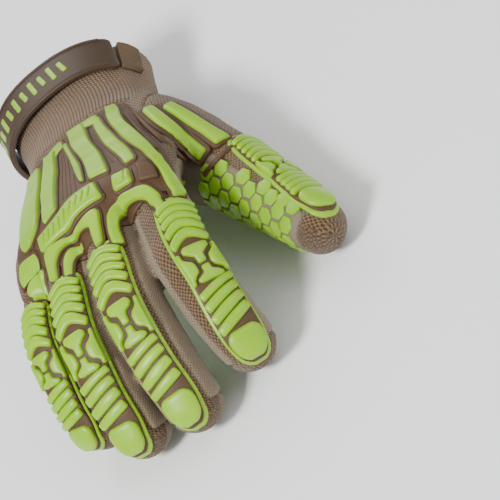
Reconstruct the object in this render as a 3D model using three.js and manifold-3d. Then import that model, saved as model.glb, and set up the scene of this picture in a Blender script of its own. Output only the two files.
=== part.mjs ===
// Impact glove, right hand, lying palm down. Millimetres, +Z up, +Y towards the fingertips,
// +X towards the little finger. The origin is under the heel of the palm, where the glove rests.
import * as THREE from "three";
import { mergeVertices } from "three/addons/utils/BufferGeometryUtils.js";
import Module from "manifold-3d";

const wasm = await Module();
wasm.setup();

// Cloth, leather and clearances
const WALL = 1.8;
const GAP = 0.3;
const SEAM = 0.016;
const WELD = 1e-3;

// Hand
const PALM_LENGTH = 87;
const CUFF_LENGTH = 38;
const KNUCKLE_WIDTH = 90;
const PALM_DEPTH = 40;
const WRIST_HEIGHT = 24;
const FINGER_ROOM = 20;
const PALM_RISE = 19.5;
const SQUARE = 2.3;

// Fingers: widths and depths over the cloth, lengths from the knuckle to the tip
const FINGER_WIDTH = 25.6;
const FINGER_DEPTH = 24.6;
const FINGER_LENGTH = 107;
const JOINT_BEND = 25;
const TIP_BEND = 16;

// Thumb
const THUMB_WIDTH = 28;
const THUMB_DEPTH = 26;
const THUMB_REACH = 137;
const THUMB_SPREAD = 89;

// Moulded armour
const PAD_BASE = 1.4;
const RIB_RISE = 1.8;
const GUARD_WIDTH = 17.5;
const BAR_WIDTH = 7;
const BAR_THICKNESS = 3;

// Wrist strap
const STRAP_WIDTH = 25;
const STRAP_THICKNESS = 2;
const STRAP_LIFT = 2.6;

const DEGREE = Math.PI / 180;
const STEP = 1;
const HAND_END = PALM_LENGTH + FINGER_ROOM;

function smooth(t) {
  const c = Math.min(1, Math.max(0, t));
  return c * c * (3 - 2 * c);
}

// Sections of the hand. at: share of the cuff length before the wrist, of the palm length
// after it, and of the finger room past the knuckles. Half width and shift are shares of the
// knuckle width, up and down are shares of the palm depth.
const HAND_SECTIONS = [
  { at: -CUFF_LENGTH, half: 0.425, up: 0.62, down: 0.62, shift: 0.12 },
  { at: -0.56 * CUFF_LENGTH, half: 0.4, up: 0.6, down: 0.63, shift: 0.1 },
  { at: -0.11 * CUFF_LENGTH, half: 0.385, up: 0.57, down: 0.65, shift: 0.07 },
  { at: 0.14 * PALM_LENGTH, half: 0.41, up: 0.56, down: 0.65, shift: 0.035 },
  { at: 0.34 * PALM_LENGTH, half: 0.46, up: 0.53, down: 0.58, shift: 0.003 },
  { at: 0.57 * PALM_LENGTH, half: 0.492, up: 0.48, down: 0.52, shift: -0.014 },
  { at: 0.8 * PALM_LENGTH, half: 0.503, up: 0.43, down: 0.44, shift: -0.017 },
  { at: PALM_LENGTH, half: 0.5, up: 0.38, down: 0.36, shift: -0.017 },
  { at: HAND_END, half: 0.487, up: 0.31, down: 0.3, shift: -0.017 },
];

// A smooth curve through one column of a table.
function column(rows, at, name) {
  const last = rows.length - 1;
  const s = Math.min(rows[last].at, Math.max(rows[0].at, at));
  let i = 0;
  while (i < last - 1 && rows[i + 1].at < s) i += 1;
  const slope = (k) => {
    const a = rows[Math.max(0, k - 1)];
    const b = rows[Math.min(last, k + 1)];
    return (b[name] - a[name]) / (b.at - a.at);
  };
  const h = rows[i + 1].at - rows[i].at;
  const t = (s - rows[i].at) / h;
  const from = rows[i][name] * (2 * t ** 3 - 3 * t ** 2 + 1);
  const leave = slope(i) * h * (t ** 3 - 2 * t ** 2 + t);
  const to = rows[i + 1][name] * (3 * t ** 2 - 2 * t ** 3);
  const arrive = slope(i + 1) * h * (t ** 3 - t ** 2);
  return from + leave + to + arrive;
}

// side: share of the knuckle width. knuckle: share of the palm length. lift: share of the palm
// depth. heading and slope in degrees. length, first and second joint: shares of the finger
// length. girth: share of the finger width and depth. turn: degrees the nail turns to the thumb.
const FINGER_TABLE = [
  { name: "index", side: -0.367, knuckle: 0.966, lift: 0, heading: -4, slope: 10,
    length: 0.93, first: 0.43, second: 0.69, girth: 0.99, turn: 16 },
  { name: "middle", side: -0.122, knuckle: 1, lift: 0.04, heading: 2, slope: 8.5,
    length: 1, first: 0.455, second: 0.727, girth: 1, turn: 3 },
  { name: "ring", side: 0.122, knuckle: 0.966, lift: 0.02, heading: 6, slope: 9.5,
    length: 0.96, first: 0.445, second: 0.705, girth: 0.99, turn: -6 },
  { name: "little", side: 0.35, knuckle: 0.874, lift: -0.04, heading: 8, slope: 12,
    length: 0.83, first: 0.385, second: 0.6, girth: 0.9, turn: -24 },
];

// One lane of the hand runs to each finger: it rises from the wrist to the knuckle and turns
// down after it, into the finger.
function laneOf(row) {
  const knuckle = row.knuckle * PALM_LENGTH;
  const slope = (s) => {
    const rise = PALM_RISE * smooth((s / PALM_LENGTH + 0.09) / 0.5);
    const drop = (PALM_RISE + row.slope) * smooth((s - 0.9 * knuckle) / FINGER_ROOM);
    return (rise - drop) * DEGREE;
  };
  const walk = (sign, reach) => {
    const points = [{ y: 0, z: WRIST_HEIGHT }];
    for (let k = 0; k < reach; k += STEP) {
      const angle = slope(sign * (k + STEP / 2));
      const p = points[points.length - 1];
      points.push({
        y: p.y + sign * STEP * Math.cos(angle),
        z: p.z + sign * STEP * Math.sin(angle),
      });
    }
    return points;
  };
  return {
    side: row.side * KNUCKLE_WIDTH,
    end: knuckle + FINGER_ROOM,
    slope,
    forward: walk(1, HAND_END + FINGER_ROOM),
    back: walk(-1, 2 * CUFF_LENGTH),
  };
}
const lanes = FINGER_TABLE.map(laneOf);

function alongLane(lane, s) {
  const at = s > 0 ? (s * lane.end) / HAND_END : s;
  const points = at >= 0 ? lane.forward : lane.back;
  const k = Math.min(points.length - 2, Math.floor(Math.abs(at) / STEP));
  const t = Math.abs(at) / STEP - k;
  return {
    at: lane.side,
    y: points[k].y * (1 - t) + points[k + 1].y * t,
    z: points[k].z * (1 - t) + points[k + 1].z * t,
    slope: lane.slope(at),
  };
}

// The hand's centre surface at a station and a side position.
function spineAt(s, x) {
  const rows = lanes.map((lane) => alongLane(lane, s));
  return { y: column(rows, x, "y"), z: column(rows, x, "z"), slope: column(rows, x, "slope") };
}

function fingerOf(row, k) {
  const f = {
    name: row.name,
    x: row.side * KNUCKLE_WIDTH,
    heading: row.heading * DEGREE,
    length: row.length * FINGER_LENGTH,
    first: row.first * FINGER_LENGTH,
    second: row.second * FINGER_LENGTH,
    half: (row.girth * FINGER_WIDTH) / 2,
    depth: (row.girth * FINGER_DEPTH) / 2,
  };
  const lift = row.lift * PALM_DEPTH;
  const side = new THREE.Vector3(Math.cos(f.heading), -Math.sin(f.heading), 0);
  const turn = row.turn * DEGREE;
  const bendLength = 0.16 * FINGER_LENGTH;
  const tangentAt = (s) => {
    const joint = JOINT_BEND * smooth((s - f.first) / bendLength + 0.5);
    const tip = TIP_BEND * smooth((s - f.second) / bendLength + 0.5);
    const slope = (row.slope + joint + tip) * DEGREE;
    return new THREE.Vector3(
      Math.cos(slope) * Math.sin(f.heading),
      Math.cos(slope) * Math.cos(f.heading),
      -Math.sin(slope),
    );
  };
  const end = alongLane(lanes[k], HAND_END);
  const centre = new THREE.Vector3(
    f.x,
    end.y - lift * Math.sin(end.slope),
    end.z + lift * Math.cos(end.slope),
  );
  centre.addScaledVector(tangentAt(0), -FINGER_ROOM);
  centre.x = f.x;
  f.frames = [];
  for (let s = 0; s <= f.length + STEP; s += STEP) {
    const tangent = tangentAt(s);
    const up = side.clone().cross(tangent);
    f.frames.push({
      centre: centre.clone(),
      across: side.clone().multiplyScalar(Math.cos(turn)).addScaledVector(up, Math.sin(turn)),
      out: up.clone().multiplyScalar(Math.cos(turn)).addScaledVector(side, -Math.sin(turn)),
    });
    centre.addScaledVector(tangentAt(s + STEP / 2), STEP);
  }
  return f;
}
const fingers = FINGER_TABLE.map(fingerOf);

// A point of an oval section: angle 0 is its first side, a quarter turn its back.
function oval(angle, half, depth) {
  const c = Math.cos(angle);
  const q = Math.sin(angle);
  return {
    x: half * Math.sign(c) * Math.abs(c) ** (2 / SQUARE),
    n: depth * Math.sign(q) * Math.abs(q) ** (2 / SQUARE),
  };
}

// Height of the four finger tubes over their centres, where the hand opens into them.
function scallop(x) {
  let best = 0.17 * FINGER_DEPTH;
  for (const f of fingers) {
    const reach = Math.abs(x - f.x - FINGER_ROOM * Math.sin(f.heading)) / (0.95 * f.half);
    if (reach < 1) {
      best = Math.max(best, 0.95 * f.depth * (1 - reach ** SQUARE) ** (1 / SQUARE));
    }
  }
  return best;
}

function onFloor(z, inset) {
  return Math.max(z, Math.max(inset, 0));
}

// A point of the hand's skin. angle 0 is the little finger's side, a quarter turn the back.
function handPoint(angle, s, inset) {
  const half = column(HAND_SECTIONS, s, "half") * KNUCKLE_WIDTH - inset;
  const side = Math.sin(angle) > 0 ? "up" : "down";
  const depth = column(HAND_SECTIONS, s, side) * PALM_DEPTH - inset;
  const p = oval(angle, half, depth);
  const x = p.x + column(HAND_SECTIONS, s, "shift") * KNUCKLE_WIDTH;
  const open = smooth((s - PALM_LENGTH + 0.15 * FINGER_ROOM) / (1.1 * FINGER_ROOM));
  const edge = Math.min(1, 3 * Math.abs(Math.sin(angle)));
  const tubes = Math.sign(p.n) * (scallop(x) - inset) * edge;
  const n = p.n * (1 - open) + tubes * open;
  const at = spineAt(s, x);
  return new THREE.Vector3(
    x,
    at.y - n * Math.sin(at.slope),
    onFloor(at.z + n * Math.cos(at.slope), inset),
  );
}

// A round end over the last stretch of a tube.
function dome(s, length, round) {
  const into = Math.max(0, s - (length - round)) / round;
  return Math.sqrt(Math.max(0, 1 - into * into));
}

// Half width and depth of a finger at a station: slimmer at the base, round at the tip.
function fingerGirth(f, s, inset) {
  const swell = 0.95 + 0.05 * smooth((s - FINGER_ROOM) / FINGER_ROOM);
  const taper = 0.07 * smooth((s - f.second) / (0.27 * FINGER_LENGTH) + 0.2);
  const half = f.half * (swell - taper) - inset;
  const depth = f.depth * (swell - taper) - inset;
  const end = dome(s, f.length - inset, 1.08 * half);
  return { half: half * end, depth: depth * end };
}

// The thumb's route. forward: share of the thumb's reach, aside: share of its spread, height:
// share of the wrist height. wide and deep: shares of the thumb's half width and half depth.
const THUMB_TABLE = [
  { forward: 0.2, aside: 0.19, height: 1.13, wide: 1.21, deep: 2.0 },
  { forward: 0.325, aside: 0.39, height: 0.98, wide: 1.25, deep: 1.7 },
  { forward: 0.465, aside: 0.56, height: 0.82, wide: 1.17, deep: 1.3 },
  { forward: 0.62, aside: 0.69, height: 0.69, wide: 1.04, deep: 1.08 },
  { forward: 0.78, aside: 0.82, height: 0.59, wide: 0.95, deep: 0.95 },
  { forward: 1.0, aside: 1.0, height: 0.51, wide: 0.81, deep: 0.82 },
];
const THUMB_TILT = 20;
const ROUTE_STEPS = 80;

function makeThumb() {
  const points = THUMB_TABLE.map((row) => new THREE.Vector3(
    -row.aside * THUMB_SPREAD,
    row.forward * THUMB_REACH,
    row.height * WRIST_HEIGHT,
  ));
  const route = new THREE.CatmullRomCurve3(points);
  const steps = ROUTE_STEPS * (THUMB_TABLE.length - 1);
  route.arcLengthDivisions = steps;
  const length = route.getLength();
  const lengths = route.getLengths(steps);
  const thumb = { name: "thumb", length, half: THUMB_WIDTH / 2, depth: THUMB_DEPTH / 2 };
  thumb.rows = THUMB_TABLE.map((row, i) => ({
    at: lengths[ROUTE_STEPS * i],
    wide: row.wide,
    deep: row.deep,
  }));
  thumb.frames = [];
  const tilt = THUMB_TILT * DEGREE;
  for (let s = 0; s <= length + STEP; s += STEP) {
    const u = Math.min(1, s / length);
    const tangent = route.getTangentAt(u);
    const aside = new THREE.Vector3(0, 0, 1).cross(tangent).normalize();
    const above = tangent.clone().cross(aside);
    const out = aside.multiplyScalar(Math.cos(tilt)).addScaledVector(above, Math.sin(tilt));
    const centre = route.getPointAt(u).addScaledVector(tangent, Math.max(0, s - length));
    thumb.frames.push({ centre, across: tangent.clone().cross(out), out });
  }
  return thumb;
}
const thumb = makeThumb();

function thumbGirth(tube, s, inset) {
  const half = column(tube.rows, s, "wide") * tube.half - inset;
  const depth = column(tube.rows, s, "deep") * tube.depth - inset;
  const end = dome(s, tube.length - inset, 1.15 * Math.min(half, depth));
  return { half: half * end, depth: depth * end };
}

function frameAt(tube, s) {
  const k = Math.min(tube.frames.length - 2, Math.max(0, Math.floor(s / STEP)));
  const t = s / STEP - k;
  const a = tube.frames[k];
  const b = tube.frames[k + 1];
  return {
    centre: a.centre.clone().lerp(b.centre, t),
    across: a.across.clone().lerp(b.across, t).normalize(),
    out: a.out.clone().lerp(b.out, t).normalize(),
  };
}

// A point of a tube's skin. angle 0 is its first side, a quarter turn its back.
function tubePoint(tube, girth, angle, s, inset) {
  const at = Math.min(s, tube.length - inset);
  const g = girth(tube, at, inset);
  const ring = oval(angle, g.half, g.depth);
  const frame = frameAt(tube, at);
  const p = frame.centre.addScaledVector(frame.across, ring.x).addScaledVector(frame.out, ring.n);
  p.z = onFloor(p.z, inset);
  return p;
}

const fingerPoint = (f) => (angle, s, inset) => tubePoint(f, fingerGirth, angle, s, inset);
const thumbPoint = (angle, s, inset) => tubePoint(thumb, thumbGirth, angle, s, inset);

// Closed solids

function solidOf(positions) {
  const soup = new THREE.BufferGeometry();
  soup.setAttribute("position", new THREE.Float32BufferAttribute(positions, 3));
  const merged = mergeVertices(soup, WELD);
  const kept = [];
  const index = merged.index.array;
  for (let i = 0; i < index.length; i += 3) {
    const [a, b, c] = [index[i], index[i + 1], index[i + 2]];
    if (a !== b && b !== c && a !== c) kept.push(a, b, c);
  }
  const made = new wasm.Manifold(new wasm.Mesh({
    numProp: 3,
    vertProperties: merged.attributes.position.array,
    triVerts: new Uint32Array(kept),
  }));
  return made;
}

// A solid of two grids of points, outer and inner, joined round their four edges.
function slab(outer, inner) {
  const positions = [];
  const rows = outer.length - 1;
  const columns = outer[0].length - 1;
  const triangle = (a, b, c) => positions.push(...a.toArray(), ...b.toArray(), ...c.toArray());
  const face = (a, b, c, d) => {
    triangle(a, b, c);
    triangle(a, c, d);
  };
  for (let j = 0; j < rows; j += 1) {
    for (let i = 0; i < columns; i += 1) {
      face(outer[j][i], outer[j][i + 1], outer[j + 1][i + 1], outer[j + 1][i]);
      face(inner[j][i], inner[j + 1][i], inner[j + 1][i + 1], inner[j][i + 1]);
    }
    face(outer[j][0], outer[j + 1][0], inner[j + 1][0], inner[j][0]);
    face(outer[j][columns], inner[j][columns], inner[j + 1][columns], outer[j + 1][columns]);
  }
  for (let i = 0; i < columns; i += 1) {
    face(outer[0][i], inner[0][i], inner[0][i + 1], outer[0][i + 1]);
    face(outer[rows][i], outer[rows][i + 1], inner[rows][i + 1], inner[rows][i]);
  }
  return turnedOut(positions);
}

// The same points with their faces turned over if they point inwards.
function turnedOut(positions) {
  let volume = 0;
  for (let i = 0; i < positions.length; i += 9) {
    const a = new THREE.Vector3(...positions.slice(i, i + 3));
    const b = new THREE.Vector3(...positions.slice(i + 3, i + 6));
    const c = new THREE.Vector3(...positions.slice(i + 6, i + 9));
    volume += a.dot(b.cross(c));
  }
  if (volume > 0) return solidOf(positions);
  const turned = [];
  for (let i = 0; i < positions.length; i += 9) {
    turned.push(...positions.slice(i, i + 3));
    turned.push(...positions.slice(i + 6, i + 9));
    turned.push(...positions.slice(i + 3, i + 6));
  }
  return solidOf(turned);
}

// A grid of points on a skin. angles: s => [first, last]. span: share across => [start, end].
function grid({ point, angles, span, across, along, inset }) {
  const rows = [];
  for (let j = 0; j <= along; j += 1) {
    const row = [];
    for (let i = 0; i <= across; i += 1) {
      const share = i / across;
      const [start, end] = span(share);
      const s = start + ((end - start) * j) / along;
      const [first, last] = angles(s);
      const depth = typeof inset === "function" ? inset(share, j / along) : inset;
      row.push(point(first + (last - first) * share, s, depth));
    }
    rows.push(row);
  }
  return rows;
}

function strip(spec) {
  const outer = grid({ ...spec, inset: spec.outer ?? 0 });
  const inner = grid({ ...spec, inset: spec.inner ?? WALL });
  return slab(outer, inner);
}

// A closed lofted body inside a tube's or the hand's outer skin.
function core(point, start, end, sides, rings, inset) {
  const rows = [];
  for (let j = 0; j <= rings; j += 1) {
    const s = start + ((end - start) * j) / rings;
    const row = [];
    for (let i = 0; i < sides; i += 1) row.push(point((2 * Math.PI * i) / sides, s, inset));
    rows.push(row);
  }
  const positions = [];
  const triangle = (a, b, c) => positions.push(...a.toArray(), ...b.toArray(), ...c.toArray());
  const middle = (row) => row.reduce((sum, p) => sum.add(p), new THREE.Vector3())
    .divideScalar(row.length);
  const caps = [middle(rows[0]), middle(rows[rings])];
  for (let i = 0; i < sides; i += 1) {
    const k = (i + 1) % sides;
    for (let j = 0; j < rings; j += 1) {
      triangle(rows[j][i], rows[j][k], rows[j + 1][k]);
      triangle(rows[j][i], rows[j + 1][k], rows[j + 1][i]);
    }
    triangle(caps[0], rows[0][k], rows[0][i]);
    triangle(caps[1], rows[rings][i], rows[rings][k]);
  }
  return turnedOut(positions);
}

function largest(solid) {
  const bodies = solid.decompose();
  return bodies.reduce((best, b) => (b.volume() > best.volume() ? b : best));
}

// Colours of the real materials
const LOOKS = {
  lime: { color: 0xb4e02c, roughness: 0.5, metalness: 0 },
  weave: { color: 0x7d6243, roughness: 0.9, metalness: 0 },
  stretch: { color: 0x8d8170, roughness: 0.85, metalness: 0 },
  knit: { color: 0x8a6f55, roughness: 0.95, metalness: 0 },
  leather: { color: 0x7a6a55, roughness: 0.8, metalness: 0 },
  strap: { color: 0x4f3a22, roughness: 0.6, metalness: 0 },
};

const glove = new THREE.Group();

function addNode(name, look, solid) {
  const mesh = solid.getMesh();
  const geometry = new THREE.BufferGeometry();
  geometry.setAttribute("position", new THREE.BufferAttribute(mesh.vertProperties, 3));
  geometry.setIndex(new THREE.BufferAttribute(mesh.triVerts, 1));
  geometry.computeVertexNormals();
  const node = new THREE.Mesh(geometry, new THREE.MeshStandardMaterial(LOOKS[look]));
  node.name = name;
  glove.add(node);
}

const QUARTER = Math.PI / 2;
const steady = (first, last) => () => [first + SEAM, last - SEAM];

// Hand: the woven back, the leather palm and the knitted cuff
const KNIT_END = 0.18 * PALM_LENGTH;
const scoop = (share) => smooth(1 - Math.abs(share - 0.55) / 0.33);
const palmEdge = (s) => {
  const open = smooth((s + 0.1 * PALM_LENGTH) / (0.3 * PALM_LENGTH));
  return (26 - 24 * open) * DEGREE;
};
const backSheet = {
  point: handPoint,
  angles: (s) => [-palmEdge(s) + SEAM, Math.PI + palmEdge(s) - SEAM],
  across: 20,
};
const palmSheet = {
  point: handPoint,
  angles: (s) => [Math.PI + palmEdge(s) + SEAM, 2 * Math.PI - palmEdge(s) - SEAM],
  across: 16,
};

// Finger pieces start inside the hand's end and are cut off just past it.
const FINGER_START = FINGER_ROOM - 0.2 * FINGER_WIDTH;
const rimOf = (sheet) => strip({
  ...sheet,
  angles: (s) => [sheet.angles(s)[0] - 2 * SEAM, sheet.angles(s)[1] + 2 * SEAM],
  span: () => [HAND_END - 0.3 * FINGER_WIDTH, HAND_END + 2.5 * GAP],
  along: 2,
  outer: -3 * WALL,
  inner: 4 * WALL,
});
const handCut = core(handPoint, 0.6 * PALM_LENGTH, HAND_END - WALL, 24, 4, -WALL)
  .add(rimOf(backSheet)).add(rimOf(palmSheet));
const pastHand = (solid) => largest(solid.subtract(handCut));

// Panels round a finger, by the angles of their edges
const BACK_EDGE = 38 * DEGREE;
const CAP_LENGTH = 0.75;
const CAP_LAP = 0.5;

for (const f of fingers) {
  const capStart = f.length - CAP_LENGTH * f.half;
  const panel = (first, last, across, end) => strip({
    point: fingerPoint(f),
    angles: steady(first, last),
    span: () => [FINGER_START, end],
    across,
    along: 7,
  });
  const cap = core(fingerPoint(f), capStart, f.length, 12, 3, 0)
    .subtract(core(fingerPoint(f), capStart - WALL, f.length - WALL, 12, 3, WALL));
  const back = panel(BACK_EDGE, Math.PI - BACK_EDGE, 6, capStart + CAP_LAP);
  addNode(`${f.name}_back`, "weave", pastHand(back.add(cap)));
  const front = panel(Math.PI + BACK_EDGE, 2 * Math.PI - BACK_EDGE, 6, capStart - GAP);
  addNode(`${f.name}_front`, "leather", pastHand(front));
  f.side = {
    little: panel(-BACK_EDGE, BACK_EDGE, 3, capStart - GAP),
    thumb: panel(Math.PI - BACK_EDGE, Math.PI + BACK_EDGE, 3, capStart - GAP),
  };
}

addNode("index_outer_side", "stretch", pastHand(fingers[0].side.thumb));
addNode("little_outer_side", "stretch", pastHand(fingers[3].side.little));

// Each gusset lines two fingers' facing sides and closes the crotch between them.
for (let k = 0; k < 3; k += 1) {
  const a = fingers[k];
  const b = fingers[k + 1];
  const from = tubePoint(a, fingerGirth, 0, FINGER_ROOM, WALL / 2);
  const to = tubePoint(b, fingerGirth, Math.PI, FINGER_ROOM, WALL / 2);
  const forward = frameNormal(a).lerp(frameNormal(b), 0.5).normalize();
  const across = to.clone().sub(from).normalize();
  const up = across.clone().cross(forward).normalize();
  const middle = from.clone().lerp(to, 0.5);
  const wide = Math.max(WALL, from.distanceTo(to) / 2 + WALL / 2);
  const tall = 0.4 * b.depth;
  const corner = (i, j, ahead) => middle.clone()
    .addScaledVector(across, i * wide)
    .addScaledVector(up, j * tall)
    .addScaledVector(forward, ahead);
  const sheet = (ahead) => [-1, 1].map((j) => [-1, 1].map((i) => corner(i, j, ahead)));
  const web = slab(sheet(2 * WALL), sheet(-2 * WALL));
  const gusset = pastHand(a.side.little.add(web).add(b.side.thumb));
  addNode(`${a.name}_${b.name}_gusset`, "stretch", gusset);
}

function frameNormal(f) {
  const start = frameAt(f, FINGER_ROOM);
  return start.out.clone().cross(start.across);
}

// Thumb
const THUMB_BACK = [24 * DEGREE, 150 * DEGREE];
const THUMB_GUARD_MIDDLE = 78 * DEGREE;
const thumbCap = thumb.length - CAP_LENGTH * thumb.half;
const handBody = core(handPoint, -CUFF_LENGTH, HAND_END, 28, 14, -GAP);
const thumbBody = core(thumbPoint, 0, thumb.length, 20, 16, -GAP);
const thumbPanel = (first, last, across, end) => strip({
  point: thumbPoint,
  angles: steady(first, last),
  span: () => [0, end],
  across,
  along: 10,
});
const tip = core(thumbPoint, thumbCap, thumb.length, 12, 3, 0)
  .subtract(core(thumbPoint, thumbCap - WALL, thumb.length - WALL, 12, 3, WALL));
addNode("thumb_back", "weave", largest(
  thumbPanel(THUMB_BACK[0], THUMB_BACK[1], 6, thumbCap + CAP_LAP).add(tip).subtract(handBody)));
addNode("thumb_front", "leather", largest(
  thumbPanel(THUMB_BACK[1], THUMB_BACK[0] + 2 * Math.PI, 10, thumbCap - GAP).subtract(handBody)));

const wovenBack = { ...backSheet, span: () => [KNIT_END + GAP, HAND_END], along: 8 };
addNode("hand_back", "weave", largest(strip(wovenBack).subtract(thumbBody)));
addNode("palm", "leather", largest(strip({
  ...palmSheet,
  span: () => [-CUFF_LENGTH, HAND_END],
  along: 11,
}).subtract(thumbBody)));
addNode("cuff", "knit", strip({
  point: handPoint,
  angles: (s) => [-palmEdge(s) + 2 * SEAM, Math.PI + palmEdge(s) - 2 * SEAM],
  span: (share) => [-CUFF_LENGTH + 0.8 * CUFF_LENGTH * scoop(share), KNIT_END],
  across: 20,
  along: 4,
}));

// The strap bridges the scooped back of the cuff, standing clear of it in the middle.
const STRAP_ENDS = [-24 * DEGREE, 150 * DEGREE];
const TAB_END = 176 * DEGREE;
const strapLift = (share) => GAP + STRAP_LIFT * Math.sin(Math.PI * share) ** 0.7;
const STRAP_FAR = -0.97 * CUFF_LENGTH;
const STRAP_NEAR = STRAP_FAR + STRAP_WIDTH;
const STRAP_TAPER = 0.1 * STRAP_WIDTH;
const TAB_INSET = 0.14 * STRAP_WIDTH;
addNode("wrist_strap", "strap", strip({
  point: handPoint,
  angles: () => STRAP_ENDS,
  span: (share) => [STRAP_FAR + STRAP_TAPER * share, STRAP_NEAR - STRAP_TAPER * share],
  across: 18,
  along: 2,
  outer: (share) => -strapLift(share) - STRAP_THICKNESS,
  inner: (share) => -strapLift(share),
}));
addNode("strap_tab", "weave", strip({
  point: handPoint,
  angles: () => [STRAP_ENDS[1] + 2 * SEAM, TAB_END],
  span: (share) => [
    STRAP_FAR + TAB_INSET + GAP * share,
    STRAP_NEAR - TAB_INSET - GAP * share,
  ],
  across: 4,
  along: 2,
  outer: -GAP - STRAP_THICKNESS,
  inner: -GAP,
}));

// Ribbed guard along a tube's back: a low base with cross ribs and round ends.
const GUARD_START = FINGER_ROOM + 0.16 * FINGER_WIDTH;
const GUARD_CROWN = 0.96;
const GUARD_GAP = 1.5 * GAP;
function guard({ point, length, start, half, ribs, middle }) {
  const angle = GUARD_WIDTH / 2 / half;
  const end = length - half / 2;
  const along = 2 * ribs;
  return strip({
    point,
    angles: () => [middle - angle, middle + angle],
    span: (share) => {
      const aside = 2 * share - 1;
      const round = 1 - Math.sqrt(1 - GUARD_CROWN * aside * aside);
      return [start - (GUARD_WIDTH / 6) * round, end - 0.4 * GUARD_WIDTH * round];
    },
    across: 4,
    along,
    outer: (share, far) => {
      const edge = share === 0 || share === 1 ? 0 : 1;
      const rib = Math.round(far * along) % 2;
      return -GUARD_GAP - PAD_BASE - RIB_RISE * rib * edge;
    },
    inner: -GUARD_GAP,
  });
}
for (const f of fingers) {
  addNode(`${f.name}_guard`, "lime", guard({
    point: fingerPoint(f),
    length: f.length,
    start: GUARD_START,
    half: f.half,
    ribs: 8,
    middle: QUARTER,
  }));
}
addNode("thumb_guard", "lime", guard({
  point: thumbPoint,
  length: thumb.length,
  start: 0.45 * thumb.length,
  half: thumb.half,
  ribs: 8,
  middle: THUMB_GUARD_MIDDLE,
}));

// The angle of the hand's section at a distance round its back, from the ridge.
function backAngle(aside, s) {
  const turn = (aside > 0 ? -3 : 3) * DEGREE;
  let left = Math.abs(aside);
  let angle = QUARTER;
  let from = handPoint(angle, s, 0);
  while (Math.abs(angle - QUARTER) < 2 * QUARTER) {
    const to = handPoint(angle + turn, s, 0);
    const step = to.distanceTo(from);
    if (step >= left) return angle + (turn * left) / step;
    left -= step;
    angle += turn;
    from = to;
  }
  return angle;
}

// Rows of a bar's route, in millimetres, with the direction square to it.
function routeOf(rows, pieces) {
  const curve = new THREE.CatmullRomCurve3(rows.map((row) => new THREE.Vector3(
    row.aside * KNUCKLE_WIDTH,
    row.along * PALM_LENGTH,
    row.wide * BAR_WIDTH,
  )));
  const stations = [];
  for (let k = 0; k <= pieces; k += 1) {
    const at = curve.getPoint(k / pieces);
    const way = curve.getTangent(k / pieces).setZ(0).normalize();
    stations.push({ at, half: at.z / 2, aside: new THREE.Vector3(way.y, -way.x, 0) });
  }
  return stations;
}

// A flat bar that follows a route over the back of the hand.
function backBar(rows, pieces) {
  const stations = routeOf(rows, pieces);
  const layer = (lift) => stations.map(({ at, half, aside }) => [-1, 0, 1].map((side) => {
    const a = at.x + aside.x * half * side;
    const s = at.y + aside.y * half * side;
    return handPoint(backAngle(a, s), s, -lift);
  }));
  return slab(layer(BACK_GAP + BAR_THICKNESS), layer(BACK_GAP));
}

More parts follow.
